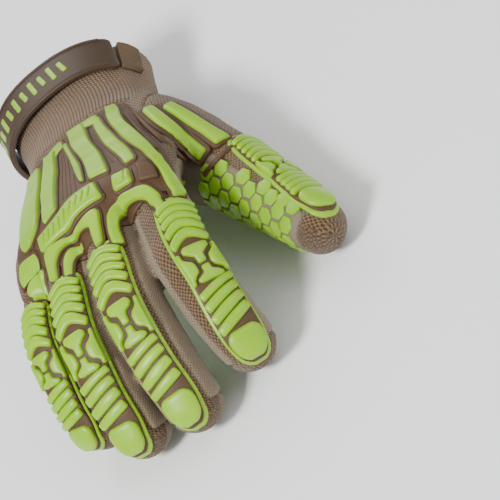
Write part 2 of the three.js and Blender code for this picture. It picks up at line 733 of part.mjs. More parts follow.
// Routes of the bars on the back of the hand. aside: distance from the ridge, as a share of the
// knuckle width. along: station, of the palm length. wide: of a bar's width.
const BACK_GAP = 2 * GAP;
const BACK_BARS = {
  radial_bar: [
    [
      { aside: -0.24, along: 0.27, wide: 1 },
      { aside: -0.34, along: 0.56, wide: 0.85 },
      { aside: -0.43, along: 0.84, wide: 0.85 },
      { aside: -0.51, along: 1.02, wide: 0.95 },
      { aside: -0.59, along: 1.17, wide: 1 },
    ],
  ],
  window_plate: [
    [
      { aside: -0.05, along: 0.24, wide: 1.2 },
      { aside: -0.083, along: 0.55, wide: 1.2 },
      { aside: -0.17, along: 0.92, wide: 1.45 },
    ],
    [
      { aside: -0.075, along: 0.245, wide: 1 },
      { aside: -0.185, along: 0.38, wide: 0.7 },
      { aside: -0.28, along: 0.667, wide: 0.7 },
      { aside: -0.365, along: 0.94, wide: 0.8 },
    ],
  ],
  inner_window_plate: [
    [
      { aside: 0.1, along: 0.26, wide: 0.8 },
      { aside: 0.155, along: 0.4, wide: 1.05 },
      { aside: 0.155, along: 0.62, wide: 1.1 },
      { aside: 0.145, along: 0.96, wide: 1.15 },
    ],
    [
      { aside: 0.1, along: 0.27, wide: 0.8 },
      { aside: 0.045, along: 0.39, wide: 0.65 },
      { aside: 0, along: 0.62, wide: 0.5 },
      { aside: -0.075, along: 0.9, wide: 0.4 },
    ],
  ],
  ulnar_bar: [
    [
      { aside: 0.29, along: 0.25, wide: 1.3 },
      { aside: 0.31, along: 0.46, wide: 1.7 },
      { aside: 0.305, along: 0.8, wide: 1.7 },
      { aside: 0.36, along: 0.99, wide: 1.2 },
      { aside: 0.39, along: 1.07, wide: 0.6 },
    ],
  ],
  knuckle_bar: [
    [
      { aside: 0.25, along: 1.05, wide: 1 },
      { aside: -0.01, along: 1.02, wide: 1 },
      { aside: -0.22, along: 0.985, wide: 1 },
    ],
  ],
  square_pad: [
    [
      { aside: -0.3, along: 0.99, wide: 1.1 },
      { aside: -0.315, along: 1.06, wide: 1.1 },
    ],
  ],
  index_middle_plate: [
    [
      { aside: -0.25, along: 1.21, wide: 0.7 },
      { aside: -0.27, along: 1.14, wide: 0.8 },
      { aside: -0.33, along: 1.11, wide: 0.85 },
      { aside: -0.4, along: 1.14, wide: 0.8 },
      { aside: -0.42, along: 1.21, wide: 0.7 },
    ],
  ],
  middle_ring_plate: [
    [
      { aside: -0.01, along: 1.21, wide: 0.7 },
      { aside: 0.01, along: 1.15, wide: 0.75 },
      { aside: 0.07, along: 1.12, wide: 0.7 },
      { aside: 0.13, along: 1.15, wide: 0.75 },
      { aside: 0.15, along: 1.21, wide: 0.7 },
    ],
  ],
  ring_little_plate: [
    [
      { aside: 0.28, along: 1.21, wide: 0.6 },
      { aside: 0.29, along: 1.15, wide: 0.6 },
      { aside: 0.33, along: 1.12, wide: 0.6 },
      { aside: 0.39, along: 1.16, wide: 0.6 },
      { aside: 0.42, along: 1.21, wide: 0.6 },
    ],
  ],
};
const clearOfBack = strip({ ...wovenBack, outer: -GAP });
for (const [name, routes] of Object.entries(BACK_BARS)) {
  const bars = routes.map((rows) => backBar(rows, rows.length + 2));
  const joined = bars.reduce((all, bar) => all.add(bar));
  addNode(name, "lime", largest(joined.subtract(clearOfBack)));
}

// Routes of two bars on the saddle between the hand and the thumb, seen from above. aside and
// along are distances from the glove's middle and from the wrist, as the same shares.
const SADDLE_BARS = {
  inner_saddle_bar: [
    { aside: -0.425, along: 0.4, wide: 0.75 },
    { aside: -0.49, along: 0.56, wide: 0.75 },
    { aside: -0.54, along: 0.67, wide: 0.75 },
    { aside: -0.565, along: 0.74, wide: 0.75 },
  ],
  outer_saddle_bar: [
    { aside: -0.5, along: 0.42, wide: 0.75 },
    { aside: -0.56, along: 0.54, wide: 0.75 },
    { aside: -0.61, along: 0.65, wide: 0.75 },
    { aside: -0.645, along: 0.74, wide: 0.75 },
  ],
};
const skinAt = (lift) => core(handPoint, 0, HAND_END, 28, 10, -lift)
  .add(core(thumbPoint, 0, thumb.length, 20, 12, -lift));
const saddleShell = skinAt(BACK_GAP + BAR_THICKNESS).subtract(skinAt(BACK_GAP));
for (const [name, rows] of Object.entries(SADDLE_BARS)) {
  const stations = routeOf(rows, 2 * rows.length);
  const layer = (z) => stations.map(({ at, half, aside }) => [-1, 1].map((side) => (
    new THREE.Vector3(at.x + aside.x * half * side, at.y + aside.y * half * side, z))));
  const above = slab(layer(3 * PALM_DEPTH), layer(WRIST_HEIGHT));
  addNode(name, "lime", largest(saddleShell.intersect(above)));
}

export default glove;
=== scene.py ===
"""Impact glove for the right hand, lying palm down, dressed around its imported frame.

The cloth of the glove is one smooth skin, grown over the hand, the fingers and the thumb and then
parted along its seams. The rubber armour, the grips and the strap are modelled flat, piece by
piece, and laid over that skin.
"""
import logging
import math
from dataclasses import dataclass, field
from enum import Enum
from typing import Callable, Sequence

import bmesh
import bpy
import numpy as np
from mathutils import Matrix, Vector, noise
from mathutils.bvhtree import BVHTree
from mathutils.kdtree import KDTree


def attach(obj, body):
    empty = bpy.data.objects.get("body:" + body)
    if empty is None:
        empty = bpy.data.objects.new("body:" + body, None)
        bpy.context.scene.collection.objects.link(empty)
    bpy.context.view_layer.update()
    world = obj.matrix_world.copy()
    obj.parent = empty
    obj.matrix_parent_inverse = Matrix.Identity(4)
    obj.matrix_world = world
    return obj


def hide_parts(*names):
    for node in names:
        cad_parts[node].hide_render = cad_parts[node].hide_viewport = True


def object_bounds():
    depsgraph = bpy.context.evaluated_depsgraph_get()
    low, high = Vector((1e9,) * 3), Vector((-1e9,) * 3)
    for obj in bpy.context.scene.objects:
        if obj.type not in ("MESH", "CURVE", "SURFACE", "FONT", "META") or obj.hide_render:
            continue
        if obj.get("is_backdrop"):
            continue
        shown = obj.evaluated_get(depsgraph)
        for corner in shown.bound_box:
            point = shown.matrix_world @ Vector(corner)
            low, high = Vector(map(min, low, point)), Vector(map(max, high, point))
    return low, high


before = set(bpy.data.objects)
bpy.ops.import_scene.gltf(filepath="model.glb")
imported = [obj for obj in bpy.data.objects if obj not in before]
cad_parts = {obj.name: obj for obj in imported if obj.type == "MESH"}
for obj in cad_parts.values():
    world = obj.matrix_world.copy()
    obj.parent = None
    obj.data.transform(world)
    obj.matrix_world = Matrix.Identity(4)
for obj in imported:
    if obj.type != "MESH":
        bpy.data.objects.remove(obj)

LOG = logging.getLogger("glove")
MM = 0.001
DEGREE = math.pi / 180
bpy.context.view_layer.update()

# Driving sizes in millimetres
WALL = 1.8
PALM_LENGTH = 87.0
CUFF_LENGTH = 38.0
KNUCKLE_WIDTH = 90.0
PALM_DEPTH = 40.0
WRIST_HEIGHT = 24.0
FINGER_ROOM = 20.0
PALM_RISE = 19.5
SQUARE = 2.3
FINGER_WIDTH = 25.6
FINGER_DEPTH = 24.6
FINGER_LENGTH = 107.0
JOINT_BEND = 25.0
TIP_BEND = 16.0
THUMB_WIDTH = 28.0
THUMB_DEPTH = 26.0
THUMB_REACH = 137.0
THUMB_SPREAD = 89.0
THUMB_TILT = 20.0
STRAP_WIDTH = 25.0
MOUTH = -CUFF_LENGTH + 1.5
SCOOP = 0.45
HAND_END = PALM_LENGTH + FINGER_ROOM
KNIT_END = 0.18 * PALM_LENGTH
TIP_CAP = 0.75
ROUTE_STEPS = 80

# Angles round the hand and the fingers, in degrees
BACK_EDGE = 38.0
THUMB_BACK = (24.0, 150.0)
THUMB_GUARD_MIDDLE = 78.0


class Slot(str, Enum):
    """Material slots of the record."""

    LIME = "lime_armour"
    WEAVE = "back_weave"
    STRETCH = "side_stretch"
    KNIT = "cuff_knit"
    LEATHER = "palm_leather"
    STRAP = "strap_rubber"
    TAB = "tab_weave"


# Form of the hand


@dataclass(frozen=True)
class HandRow:
    """One section of the hand: half width and shift as shares of the knuckle width, up and
    down as shares of the palm depth."""

    at: float
    half: float
    up: float
    down: float
    shift: float


HAND_ROWS = (
    HandRow(-CUFF_LENGTH, 0.425, 0.62, 0.62, 0.12),
    HandRow(-0.56 * CUFF_LENGTH, 0.4, 0.6, 0.63, 0.1),
    HandRow(-0.11 * CUFF_LENGTH, 0.385, 0.57, 0.65, 0.07),
    HandRow(0.14 * PALM_LENGTH, 0.41, 0.56, 0.65, 0.035),
    HandRow(0.34 * PALM_LENGTH, 0.46, 0.53, 0.58, 0.003),
    HandRow(0.57 * PALM_LENGTH, 0.492, 0.48, 0.52, -0.014),
    HandRow(0.8 * PALM_LENGTH, 0.503, 0.43, 0.44, -0.017),
    HandRow(PALM_LENGTH, 0.5, 0.38, 0.36, -0.017),
    HandRow(HAND_END, 0.487, 0.31, 0.3, -0.017),
)


@dataclass(frozen=True)
class FingerRow:
    """One finger: side of the knuckle width, knuckle of the palm length, lift of the palm depth,
    heading, slope and turn in degrees, joints and length of the finger length, girth."""

    name: str
    side: float
    knuckle: float
    lift: float
    heading: float
    slope: float
    length: float
    first: float
    second: float
    girth: float
    turn: float


FINGER_ROWS = (
    FingerRow("index", -0.367, 0.966, 0.0, -4, 10, 0.93, 0.43, 0.69, 0.99, 16),
    FingerRow("middle", -0.122, 1.0, 0.04, 2, 8.5, 1.0, 0.455, 0.727, 1.0, 3),
    FingerRow("ring", 0.122, 0.966, 0.02, 6, 9.5, 0.96, 0.445, 0.705, 0.99, -6),
    FingerRow("little", 0.35, 0.874, -0.04, 8, 12, 0.83, 0.385, 0.6, 0.9, -24),
)


@dataclass(frozen=True)
class ThumbRow:
    """One station of the thumb: forward of its reach, aside of its spread, height of the wrist
    height, wide and deep of its half width and half depth."""

    forward: float
    aside: float
    height: float
    wide: float
    deep: float


THUMB_ROWS = (
    ThumbRow(0.2, 0.19, 1.13, 1.21, 2.0),
    ThumbRow(0.325, 0.39, 0.98, 1.25, 1.7),
    ThumbRow(0.465, 0.56, 0.82, 1.17, 1.3),
    ThumbRow(0.62, 0.69, 0.69, 1.04, 1.08),
    ThumbRow(0.78, 0.82, 0.59, 0.95, 0.95),
    ThumbRow(1.0, 1.0, 0.51, 0.81, 0.82),
)


def smooth(t: float) -> float:
    """A soft step from 0 to 1."""
    c = min(1.0, max(0.0, t))
    return c * c * (3 - 2 * c)


def through(ats: Sequence[float], values: Sequence[float], at: float) -> float:
    """The value at a place of a smooth curve through a column of a table.

    Args:
        ats: places of the rows, rising.
        values: the column's value in each row.
        at: the place to read, held inside the table.

    Returns:
        The curve's value.
    """
    last = len(ats) - 1
    s = min(ats[last], max(ats[0], at))
    i = 0
    while i < last - 1 and ats[i + 1] < s:
        i += 1

    def slope(k: int) -> float:
        """The curve's slope at a row."""
        low, high = max(0, k - 1), min(last, k + 1)
        return (values[high] - values[low]) / (ats[high] - ats[low])

    h = ats[i + 1] - ats[i]
    t = (s - ats[i]) / h
    leave = values[i] * (2 * t**3 - 3 * t**2 + 1) + slope(i) * h * (t**3 - 2 * t**2 + t)
    arrive = values[i + 1] * (3 * t**2 - 2 * t**3) + slope(i + 1) * h * (t**3 - t**2)
    return leave + arrive


def oval(angle: float, half: float, depth: float) -> tuple[float, float]:
    """A point of a squarish oval section.

    Args:
        angle: radians from its first axis.
        half: half of its width.
        depth: half of its depth.

    Returns:
        The point's two coordinates.
    """
    c, q = math.cos(angle), math.sin(angle)
    x = half * math.copysign(abs(c) ** (2 / SQUARE), c)
    return x, depth * math.copysign(abs(q) ** (2 / SQUARE), q)


def dome(s: float, length: float, round_off: float) -> float:
    """The share of a tube's girth that is left where its end is rounded."""
    into = max(0.0, s - (length - round_off)) / round_off
    return math.sqrt(max(0.0, 1 - into * into))


class Lane:
    """The line that a finger's side of the hand follows, from the cuff to the finger."""

    def __init__(self, row: FingerRow) -> None:
        """Walks the line both ways from the wrist, a millimetre at a time.

        Args:
            row: the finger's row of the table.
        """
        self.slope_end = row.slope
        self.knuckle = row.knuckle * PALM_LENGTH
        self.end = self.knuckle + FINGER_ROOM
        self.forward = self._walk(1, int(HAND_END + FINGER_ROOM))
        self.back = self._walk(-1, int(2 * CUFF_LENGTH))

    def slope(self, s: float) -> float:
        """The line's climb at a station, in radians.

        Args:
            s: the station.

        Returns:
            The climb.
        """
        rise = PALM_RISE * smooth((s / PALM_LENGTH + 0.09) / 0.5)
        drop = (PALM_RISE + self.slope_end) * smooth((s - 0.9 * self.knuckle) / FINGER_ROOM)
        return (rise - drop) * DEGREE

    def _walk(self, sign: int, reach: int) -> list[tuple[float, float]]:
        """Walks the line one way from the wrist.

        Args:
            sign: 1 towards the fingers, -1 towards the cuff.
            reach: how many millimetres.

        Returns:
            The y and z of each point.
        """
        points = [(0.0, WRIST_HEIGHT)]
        for k in range(reach):
            climb = self.slope(sign * (k + 0.5))
            y, z = points[-1]
            points.append((y + sign * math.cos(climb), z + sign * math.sin(climb)))
        return points

    def at(self, s: float) -> tuple[float, float, float]:
        """Reads the line at a station of the hand.

        Args:
            s: the station, 0 at the wrist.

        Returns:
            The line's y and z, and its slope in radians.
        """
        own = s * self.end / HAND_END if s > 0 else s
        points = self.forward if own >= 0 else self.back
        k = min(len(points) - 2, int(abs(own)))
        t = abs(own) - k
        y = points[k][0] * (1 - t) + points[k + 1][0] * t
        return y, points[k][1] * (1 - t) + points[k + 1][1] * t, self.slope(own)


class Tube:
    """A finger's or the thumb's route: a frame a millimetre, and its girth."""

    def __init__(self, name: str, length: float, girth: Callable[[float], tuple[float, float]]) -> None:
        """Keeps the tube's name, length and girth.

        Args:
            name: a finger or the thumb.
            length: its length in millimetres.
            girth: gives half its width and half its depth at a station.
        """
        self.name = name
        self.length = length
        self.girth = girth
        self.frames: list[tuple[np.ndarray, np.ndarray, np.ndarray]] = []

    def point(self, angle: float, s: float) -> tuple[float, float, float]:
        """A point of the tube's skin, never under the floor.

        Args:
            angle: radians from its little finger's side.
            s: millimetres along it.

        Returns:
            The point in millimetres.
        """
        at = min(s, self.length)
        half, depth = self.girth(at)
        x, n = oval(angle, half, depth)
        k = min(len(self.frames) - 2, max(0, int(at)))
        t = at - k
        a, b = self.frames[k], self.frames[k + 1]
        centre, across, out = (a[i] * (1 - t) + b[i] * t for i in range(3))
        p = centre + across / np.linalg.norm(across) * x + out / np.linalg.norm(out) * n
        return float(p[0]), float(p[1]), max(0.0, float(p[2]))


class GloveForm:
    """The glove's outer skin: the hand, four fingers and the thumb."""

    def __init__(self) -> None:
        """Lays the lanes, the fingers and the thumb."""
        self.lanes = [Lane(row) for row in FINGER_ROWS]
        self.sides = [row.side * KNUCKLE_WIDTH for row in FINGER_ROWS]
        self.fingers = [self._finger(k, row) for k, row in enumerate(FINGER_ROWS)]
        self.thumb = self._thumb()
        self.hand_ats = [row.at for row in HAND_ROWS]

    def _finger(self, k: int, row: FingerRow) -> Tube:
        """Lays a finger's tube out from the hand's opening.

        Args:
            k: the finger's place in the table.
            row: its row.

        Returns:
            The tube, with a frame for each millimetre.
        """
        length = row.length * FINGER_LENGTH
        first, second = row.first * FINGER_LENGTH, row.second * FINGER_LENGTH
        half, depth = row.girth * FINGER_WIDTH / 2, row.girth * FINGER_DEPTH / 2

        def girth(s: float) -> tuple[float, float]:
            """Slimmer at the base, round at the tip.

            Args:
                s: the station.

            Returns:
                Half the width and half the depth.
            """
            swell = 0.95 + 0.05 * smooth((s - FINGER_ROOM) / FINGER_ROOM)
            taper = 0.07 * smooth((s - second) / (0.27 * FINGER_LENGTH) + 0.2)
            size = swell - taper
            end = dome(s, length, 1.08 * half * size)
            return half * size * end, depth * size * end

        heading, turn = row.heading * DEGREE, row.turn * DEGREE
        side = np.array([math.cos(heading), -math.sin(heading), 0.0])
        bend = 0.16 * FINGER_LENGTH

        def tangent(s: float) -> np.ndarray:
            """The finger's direction at a station.

            Args:
                s: the station.

            Returns:
                The direction, a millimetre long.
            """
            joint = JOINT_BEND * smooth((s - first) / bend + 0.5)
            tip = TIP_BEND * smooth((s - second) / bend + 0.5)
            fall = (row.slope + joint + tip) * DEGREE
            flat = math.cos(fall)
            return np.array([flat * math.sin(heading), flat * math.cos(heading), -math.sin(fall)])

        tube = Tube(row.name, length, girth)
        y, z, slope = self.lanes[k].at(HAND_END)
        lift = row.lift * PALM_DEPTH
        centre = np.array([0.0, y - lift * math.sin(slope), z + lift * math.cos(slope)])
        centre = centre - tangent(0) * FINGER_ROOM
        centre[0] = self.sides[k]
        for s in range(int(length) + 3):
            up = np.cross(side, tangent(s))
            across = side * math.cos(turn) + up * math.sin(turn)
            out = up * math.cos(turn) - side * math.sin(turn)
            tube.frames.append((centre.copy(), across, out))
            centre = centre + tangent(s + 0.5)
        return tube

    def _thumb(self) -> Tube:
        """Lays the thumb's tube along a smooth route.

        Returns:
            The tube, with a frame for each millimetre.
        """
        stops = [
            np.array([-r.aside * THUMB_SPREAD, r.forward * THUMB_REACH, r.height * WRIST_HEIGHT])
            for r in THUMB_ROWS
        ]
        line, marks = smooth_route(stops, ROUTE_STEPS)
        cumulative = np.concatenate([[0], np.cumsum(np.linalg.norm(np.diff(line, axis=0), axis=1))])
        length = float(cumulative[-1])
        ats = [float(cumulative[m]) for m in marks]
        wides = [row.wide for row in THUMB_ROWS]
        deeps = [row.deep for row in THUMB_ROWS]

        def girth(s: float) -> tuple[float, float]:
            """Wide at the saddle, round at the tip.

            Args:
                s: the station.

            Returns:
                Half the width and half the depth.
            """
            half = through(ats, wides, s) * THUMB_WIDTH / 2
            depth = through(ats, deeps, s) * THUMB_DEPTH / 2
            end = dome(s, length, 1.15 * min(half, depth))
            return half * end, depth * end

        tube = Tube("thumb", length, girth)
        tangents = np.gradient(line, axis=0)
        tilt = THUMB_TILT * DEGREE
        for s in range(int(length) + 3):
            at = min(float(s), length)
            centre = np.array([np.interp(at, cumulative, line[:, k]) for k in range(3)])
            way = np.array([np.interp(at, cumulative, tangents[:, k]) for k in range(3)])
            way /= np.linalg.norm(way)
            aside = np.cross([0, 0, 1], way)
            aside /= np.linalg.norm(aside)
            out = aside * math.cos(tilt) + np.cross(way, aside) * math.sin(tilt)
            tube.frames.append((centre + way * max(0.0, s - length), np.cross(way, out), out))
        return tube

    def scallop(self, x: float) -> float:
        """Height of the finger tubes over their centres, where the hand opens into them.

        Args:
            x: the place across the hand.

        Returns:
            The height in millimetres.
        """
        best = 0.17 * FINGER_DEPTH
        for row, side in zip(FINGER_ROWS, self.sides):
            half = row.girth * FINGER_WIDTH / 2
            shift = FINGER_ROOM * math.sin(row.heading * DEGREE)
            reach = abs(x - side - shift) / (0.95 * half)
            if reach < 1:
                depth = 0.95 * row.girth * FINGER_DEPTH / 2
                best = max(best, depth * (1 - reach**SQUARE) ** (1 / SQUARE))
        return best

    def hand(self, angle: float, s: float) -> tuple[float, float, float]:
        """A point of the hand's skin.

        Args:
            angle: radians, 0 on the little finger's side and a quarter turn at the back.
            s: the station, 0 at the wrist.

        Returns:
            The point in millimetres.
        """
        upper = math.sin(angle) > 0
        half = through(self.hand_ats, [r.half for r in HAND_ROWS], s) * KNUCKLE_WIDTH
        depths = [r.up if upper else r.down for r in HAND_ROWS]
        depth = through(self.hand_ats, depths, s) * PALM_DEPTH
        shift = through(self.hand_ats, [r.shift for r in HAND_ROWS], s) * KNUCKLE_WIDTH
        x, n = oval(angle, half, depth)
        x += shift
        opened = smooth((s - PALM_LENGTH + 0.15 * FINGER_ROOM) / (1.1 * FINGER_ROOM))
        edge = min(1.0, 3 * abs(math.sin(angle)))
        n = n * (1 - opened) + math.copysign(self.scallop(x) * edge, n) * opened
        rows = [lane.at(s) for lane in self.lanes]
        y, z, slope = (through(self.sides, [r[k] for r in rows], x) for k in range(3))
        return x, y - n * math.sin(slope), max(0.0, z + n * math.cos(slope))


def smooth_route(stops: Sequence[np.ndarray], pieces: int) -> tuple[np.ndarray, list[int]]:
    """A centripetal Catmull-Rom curve through a list of points.

    Args:
        stops: the points, of any dimension.
        pieces: steps between two of them.

    Returns:
        The curve's points, and where in them each stop is.
    """
    points = [np.asarray(p, float) for p in stops]
    line: list[np.ndarray] = []
    for i in range(len(points) - 1):
        p1, p2 = points[i], points[i + 1]
        p0 = points[i - 1] if i else 2 * p1 - p2
        p3 = points[i + 2] if i + 2 < len(points) else 2 * p2 - p1
        pairs = ((p0, p1), (p1, p2), (p2, p3))
        d = [max(1e-6, float(np.sum((b - a) ** 2)) ** 0.25) for a, b in pairs]
        m1 = ((p1 - p0) / d[0] - (p2 - p0) / (d[0] + d[1]) + (p2 - p1) / d[1]) * d[1]
        m2 = ((p2 - p1) / d[1] - (p3 - p1) / (d[1] + d[2]) + (p3 - p2) / d[2]) * d[1]
        for k in range(pieces + (i == len(points) - 2)):
            t = k / pieces
            hold = (2 * t**3 - 3 * t**2 + 1) * p1 + (3 * t**2 - 2 * t**3) * p2
            line.append(hold + (t**3 - 2 * t**2 + t) * m1 + (t**3 - t**2) * m2)
    return np.array(line), [i * pieces for i in range(len(points))]


class Chart:
    """A stretch of skin unrolled: across in millimetres round it from its ridge, along in
    millimetres down it, and lift off it."""

    def __init__(
        self, point: Callable[[float, float], tuple[float, float, float]],
        angles: tuple[float, float], stations: tuple[float, float], ridge: float, step: float = 3.0,
    ) -> None:
        """Samples the skin.

        Args:
            point: gives a point of the skin from an angle in radians and a station.
            angles: first and last angle in degrees.
            stations: first and last station.
            ridge: the angle that across is measured from.
            step: degrees between samples.
        """
        count = int(round((angles[1] - angles[0]) / step))
        self.angles = np.linspace(angles[0], angles[1], count + 1)
        self.stations = np.arange(stations[0], stations[1] + 0.5, 1.0)
        self.ridge = ridge
        self.points = np.array([
            [point(a * DEGREE, min(float(s), stations[1])) for a in self.angles] for s in self.stations
        ])
        self._measure()

    def _measure(self) -> None:
        """Works out the normals, and how far round the skin each sample is."""
        down, across = np.gradient(self.points, axis=0), np.gradient(self.points, axis=1)
        normals = np.cross(down, across)
        lengths = np.linalg.norm(normals, axis=2, keepdims=True)
        self.normals = normals / np.maximum(lengths, 1e-9)
        steps = np.linalg.norm(np.diff(self.points, axis=1), axis=2)
        arcs = np.concatenate([np.zeros((len(steps), 1)), np.cumsum(steps, axis=1)], axis=1)
        at_ridge = np.array([np.interp(self.ridge, self.angles, row) for row in arcs])
        self.arcs = at_ridge[:, None] - arcs

    def settle(self, tree: BVHTree, reach: float = 7.0) -> "Chart":
        """Moves the samples onto the real skin under them.

        Args:
            tree: the skin, in millimetres.
            reach: how far above and below a sample it is looked for.

        Returns:
            The chart itself.
        """
        for j in range(self.points.shape[0]):
            for i in range(self.points.shape[1]):
                p, n = Vector(self.points[j, i]), Vector(self.normals[j, i])
                hit = tree.ray_cast(p + n * reach, -n, 2 * reach)[0]
                if hit is None:
                    hit = tree.find_nearest(p)[0]
                self.points[j, i] = hit
        self._measure()
        return self

    def raised(self, lift: Callable[[float], float]) -> "Chart":
        """Lifts the whole chart off the skin.

        Args:
            lift: gives the height at each share of the chart's turn.

        Returns:
            The chart itself.
        """
        shares = np.linspace(0, 1, len(self.angles))
        self.points = self.points + self.normals * np.array([lift(u) for u in shares])[None, :, None]
        self._measure()
        return self

    def across_at(self, angle: float, along: float) -> float:
        """The distance from the ridge of an angle at a station."""
        row = min(max(int(along - self.stations[0]), 0), len(self.stations) - 1)
        return float(np.interp(angle, self.angles, self.arcs[row]))

    def at(self, across: float, along: float, lift: float = 0.0) -> np.ndarray:
        """The point at a place of the chart.

        Args:
            across: millimetres round the skin from the ridge.
            along: the station.
            lift: the height over the skin.

        Returns:
            The point in millimetres.
        """
        r = min(max(along - self.stations[0], 0.0), len(self.stations) - 1.001)
        j, t = int(r), r - int(r)
        point, normal = np.zeros(3), np.zeros(3)
        index = np.arange(len(self.angles))
        for row, weight in ((j, 1 - t), (j + 1, t)):
            c = float(np.interp(-across, -self.arcs[row], index))
            i = min(int(c), len(index) - 2)
            u = c - i
            point += weight * ((1 - u) * self.points[row, i] + u * self.points[row, i + 1])
            normal += weight * ((1 - u) * self.normals[row, i] + u * self.normals[row, i + 1])
        return point + normal / max(1e-9, float(np.linalg.norm(normal))) * lift


# Mesh tools


def deselect() -> None:
    """Leaves object mode with nothing selected."""
    if bpy.context.object and bpy.context.object.mode != "OBJECT":
        bpy.ops.object.mode_set(mode="OBJECT")
    bpy.ops.object.select_all(action="DESELECT")


def choose(*pieces: bpy.types.Object) -> bpy.types.Object:
    """Selects these pieces alone and makes the first active.

    Args:
        *pieces: the pieces.

    Returns:
        The first piece.
    """
    deselect()
    for piece in pieces:
        piece.select_set(True)
    bpy.context.view_layer.objects.active = pieces[0]
    return pieces[0]


def fuse(name: str, pieces: Sequence[bpy.types.Object]) -> bpy.types.Object:
    """Joins pieces into one object.

    Args:
        name: the object's name.
        pieces: the pieces, which it takes in.

    Returns:
        The joined object, active and selected.
    """
    choose(*pieces)
    if len(pieces) > 1:
        bpy.ops.object.join()
    joined = bpy.context.object
    joined.name = name
    joined.data.name = name
    return joined


def finish_with(piece: bpy.types.Object, kind: str, **settings: object) -> None:
    """Adds a modifier and applies it.

    Args:
        piece: the piece to change.
        kind: the modifier's type.
        **settings: its settings by name.
    """
    choose(piece)
    modifier = piece.modifiers.new(kind.lower(), kind)
    for key, value in settings.items():
        setattr(modifier, key, value)
    bpy.ops.object.modifier_apply(modifier=modifier.name)


def mesh_of(name: str, points: np.ndarray, faces: Sequence[Sequence[int]]) -> bpy.types.Object:
    """Makes a new mesh object.

    Args:
        name: its name.
        points: its points in millimetres.
        faces: the points of each face.

    Returns:
        The object, linked to the scene.
    """
    mesh = bpy.data.meshes.new(name)
    mesh.from_pydata((np.asarray(points) * MM).tolist(), [], [list(f) for f in faces])
    mesh.update()
    piece = bpy.data.objects.new(name, mesh)
    bpy.context.scene.collection.objects.link(piece)
    return piece


def shade(piece: bpy.types.Object, angle: float = 50.0) -> None:
    """Shades a piece smooth but for its sharp edges."""
    choose(piece)
    bpy.ops.object.shade_smooth_by_angle(angle=angle * DEGREE)


def keep(
    piece: bpy.types.Object, slot: Slot, material: bpy.types.Material, replaces: Sequence[str] = (),
) -> bpy.types.Object:
    """Gives a finished piece its material and place on the frame.

    Args:
        piece: the finished piece.
        slot: the record's material slot, not used.
        material: its material.
        replaces: the frame's nodes that it stands for.

    Returns:
        The piece.
    """
    piece.data.materials.clear()
    piece.data.materials.append(material)
    for polygon in piece.data.polygons:
        polygon.material_index = 0
    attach(piece, "root")
    if replaces:
        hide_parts(*replaces)
    LOG.info("%s: %d faces", piece.name, len(piece.data.polygons))
    return piece


@dataclass(frozen=True)
class Relief:
    """How a moulded bar stands on the skin, in millimetres.

    rise is its height, round_off the radius of its top edge, foot how deep it is rooted,
    corner the radius of its plan corners, and base the height that it starts from.
    """

    rise: float = 2.6
    round_off: float = 0.9
    foot: float = 0.7
    corner: float = 1.2
    base: float = 0.0


# Rows of points beside an edge and the spacing of the others, in millimetres
SIDE_STOPS = (0.0, 0.12, 0.4, 0.9)
ROW_SPACING = 1.3
COLUMN_SPACING = 1.1
STOP_STEPS = 12
FOOT = "foot"


def with_sides(stops: Sequence[Sequence[float]]) -> np.ndarray:
    """A smooth route as rows of its middle, its width and the way across it.

    Args:
        stops: across, along and width of each stop, or across and along of both its edges.

    Returns:
        Rows of middle across, middle along, width, and the two parts of the way across.
    """
    line, _ = smooth_route([np.array(stop, float) for stop in stops], STOP_STEPS)
    if line.shape[1] == 3:
        way = np.gradient(line[:, :2], axis=0)
        aside = np.stack([way[:, 1], -way[:, 0]], axis=1)
        wide = line[:, 2:3]
        middle = line[:, :2]
    else:
        aside = line[:, 2:] - line[:, :2]
        wide = np.linalg.norm(aside, axis=1, keepdims=True)
        middle = (line[:, :2] + line[:, 2:]) / 2
    aside = aside / np.maximum(1e-6, np.linalg.norm(aside, axis=1, keepdims=True))
    return np.hstack([middle, wide, aside])


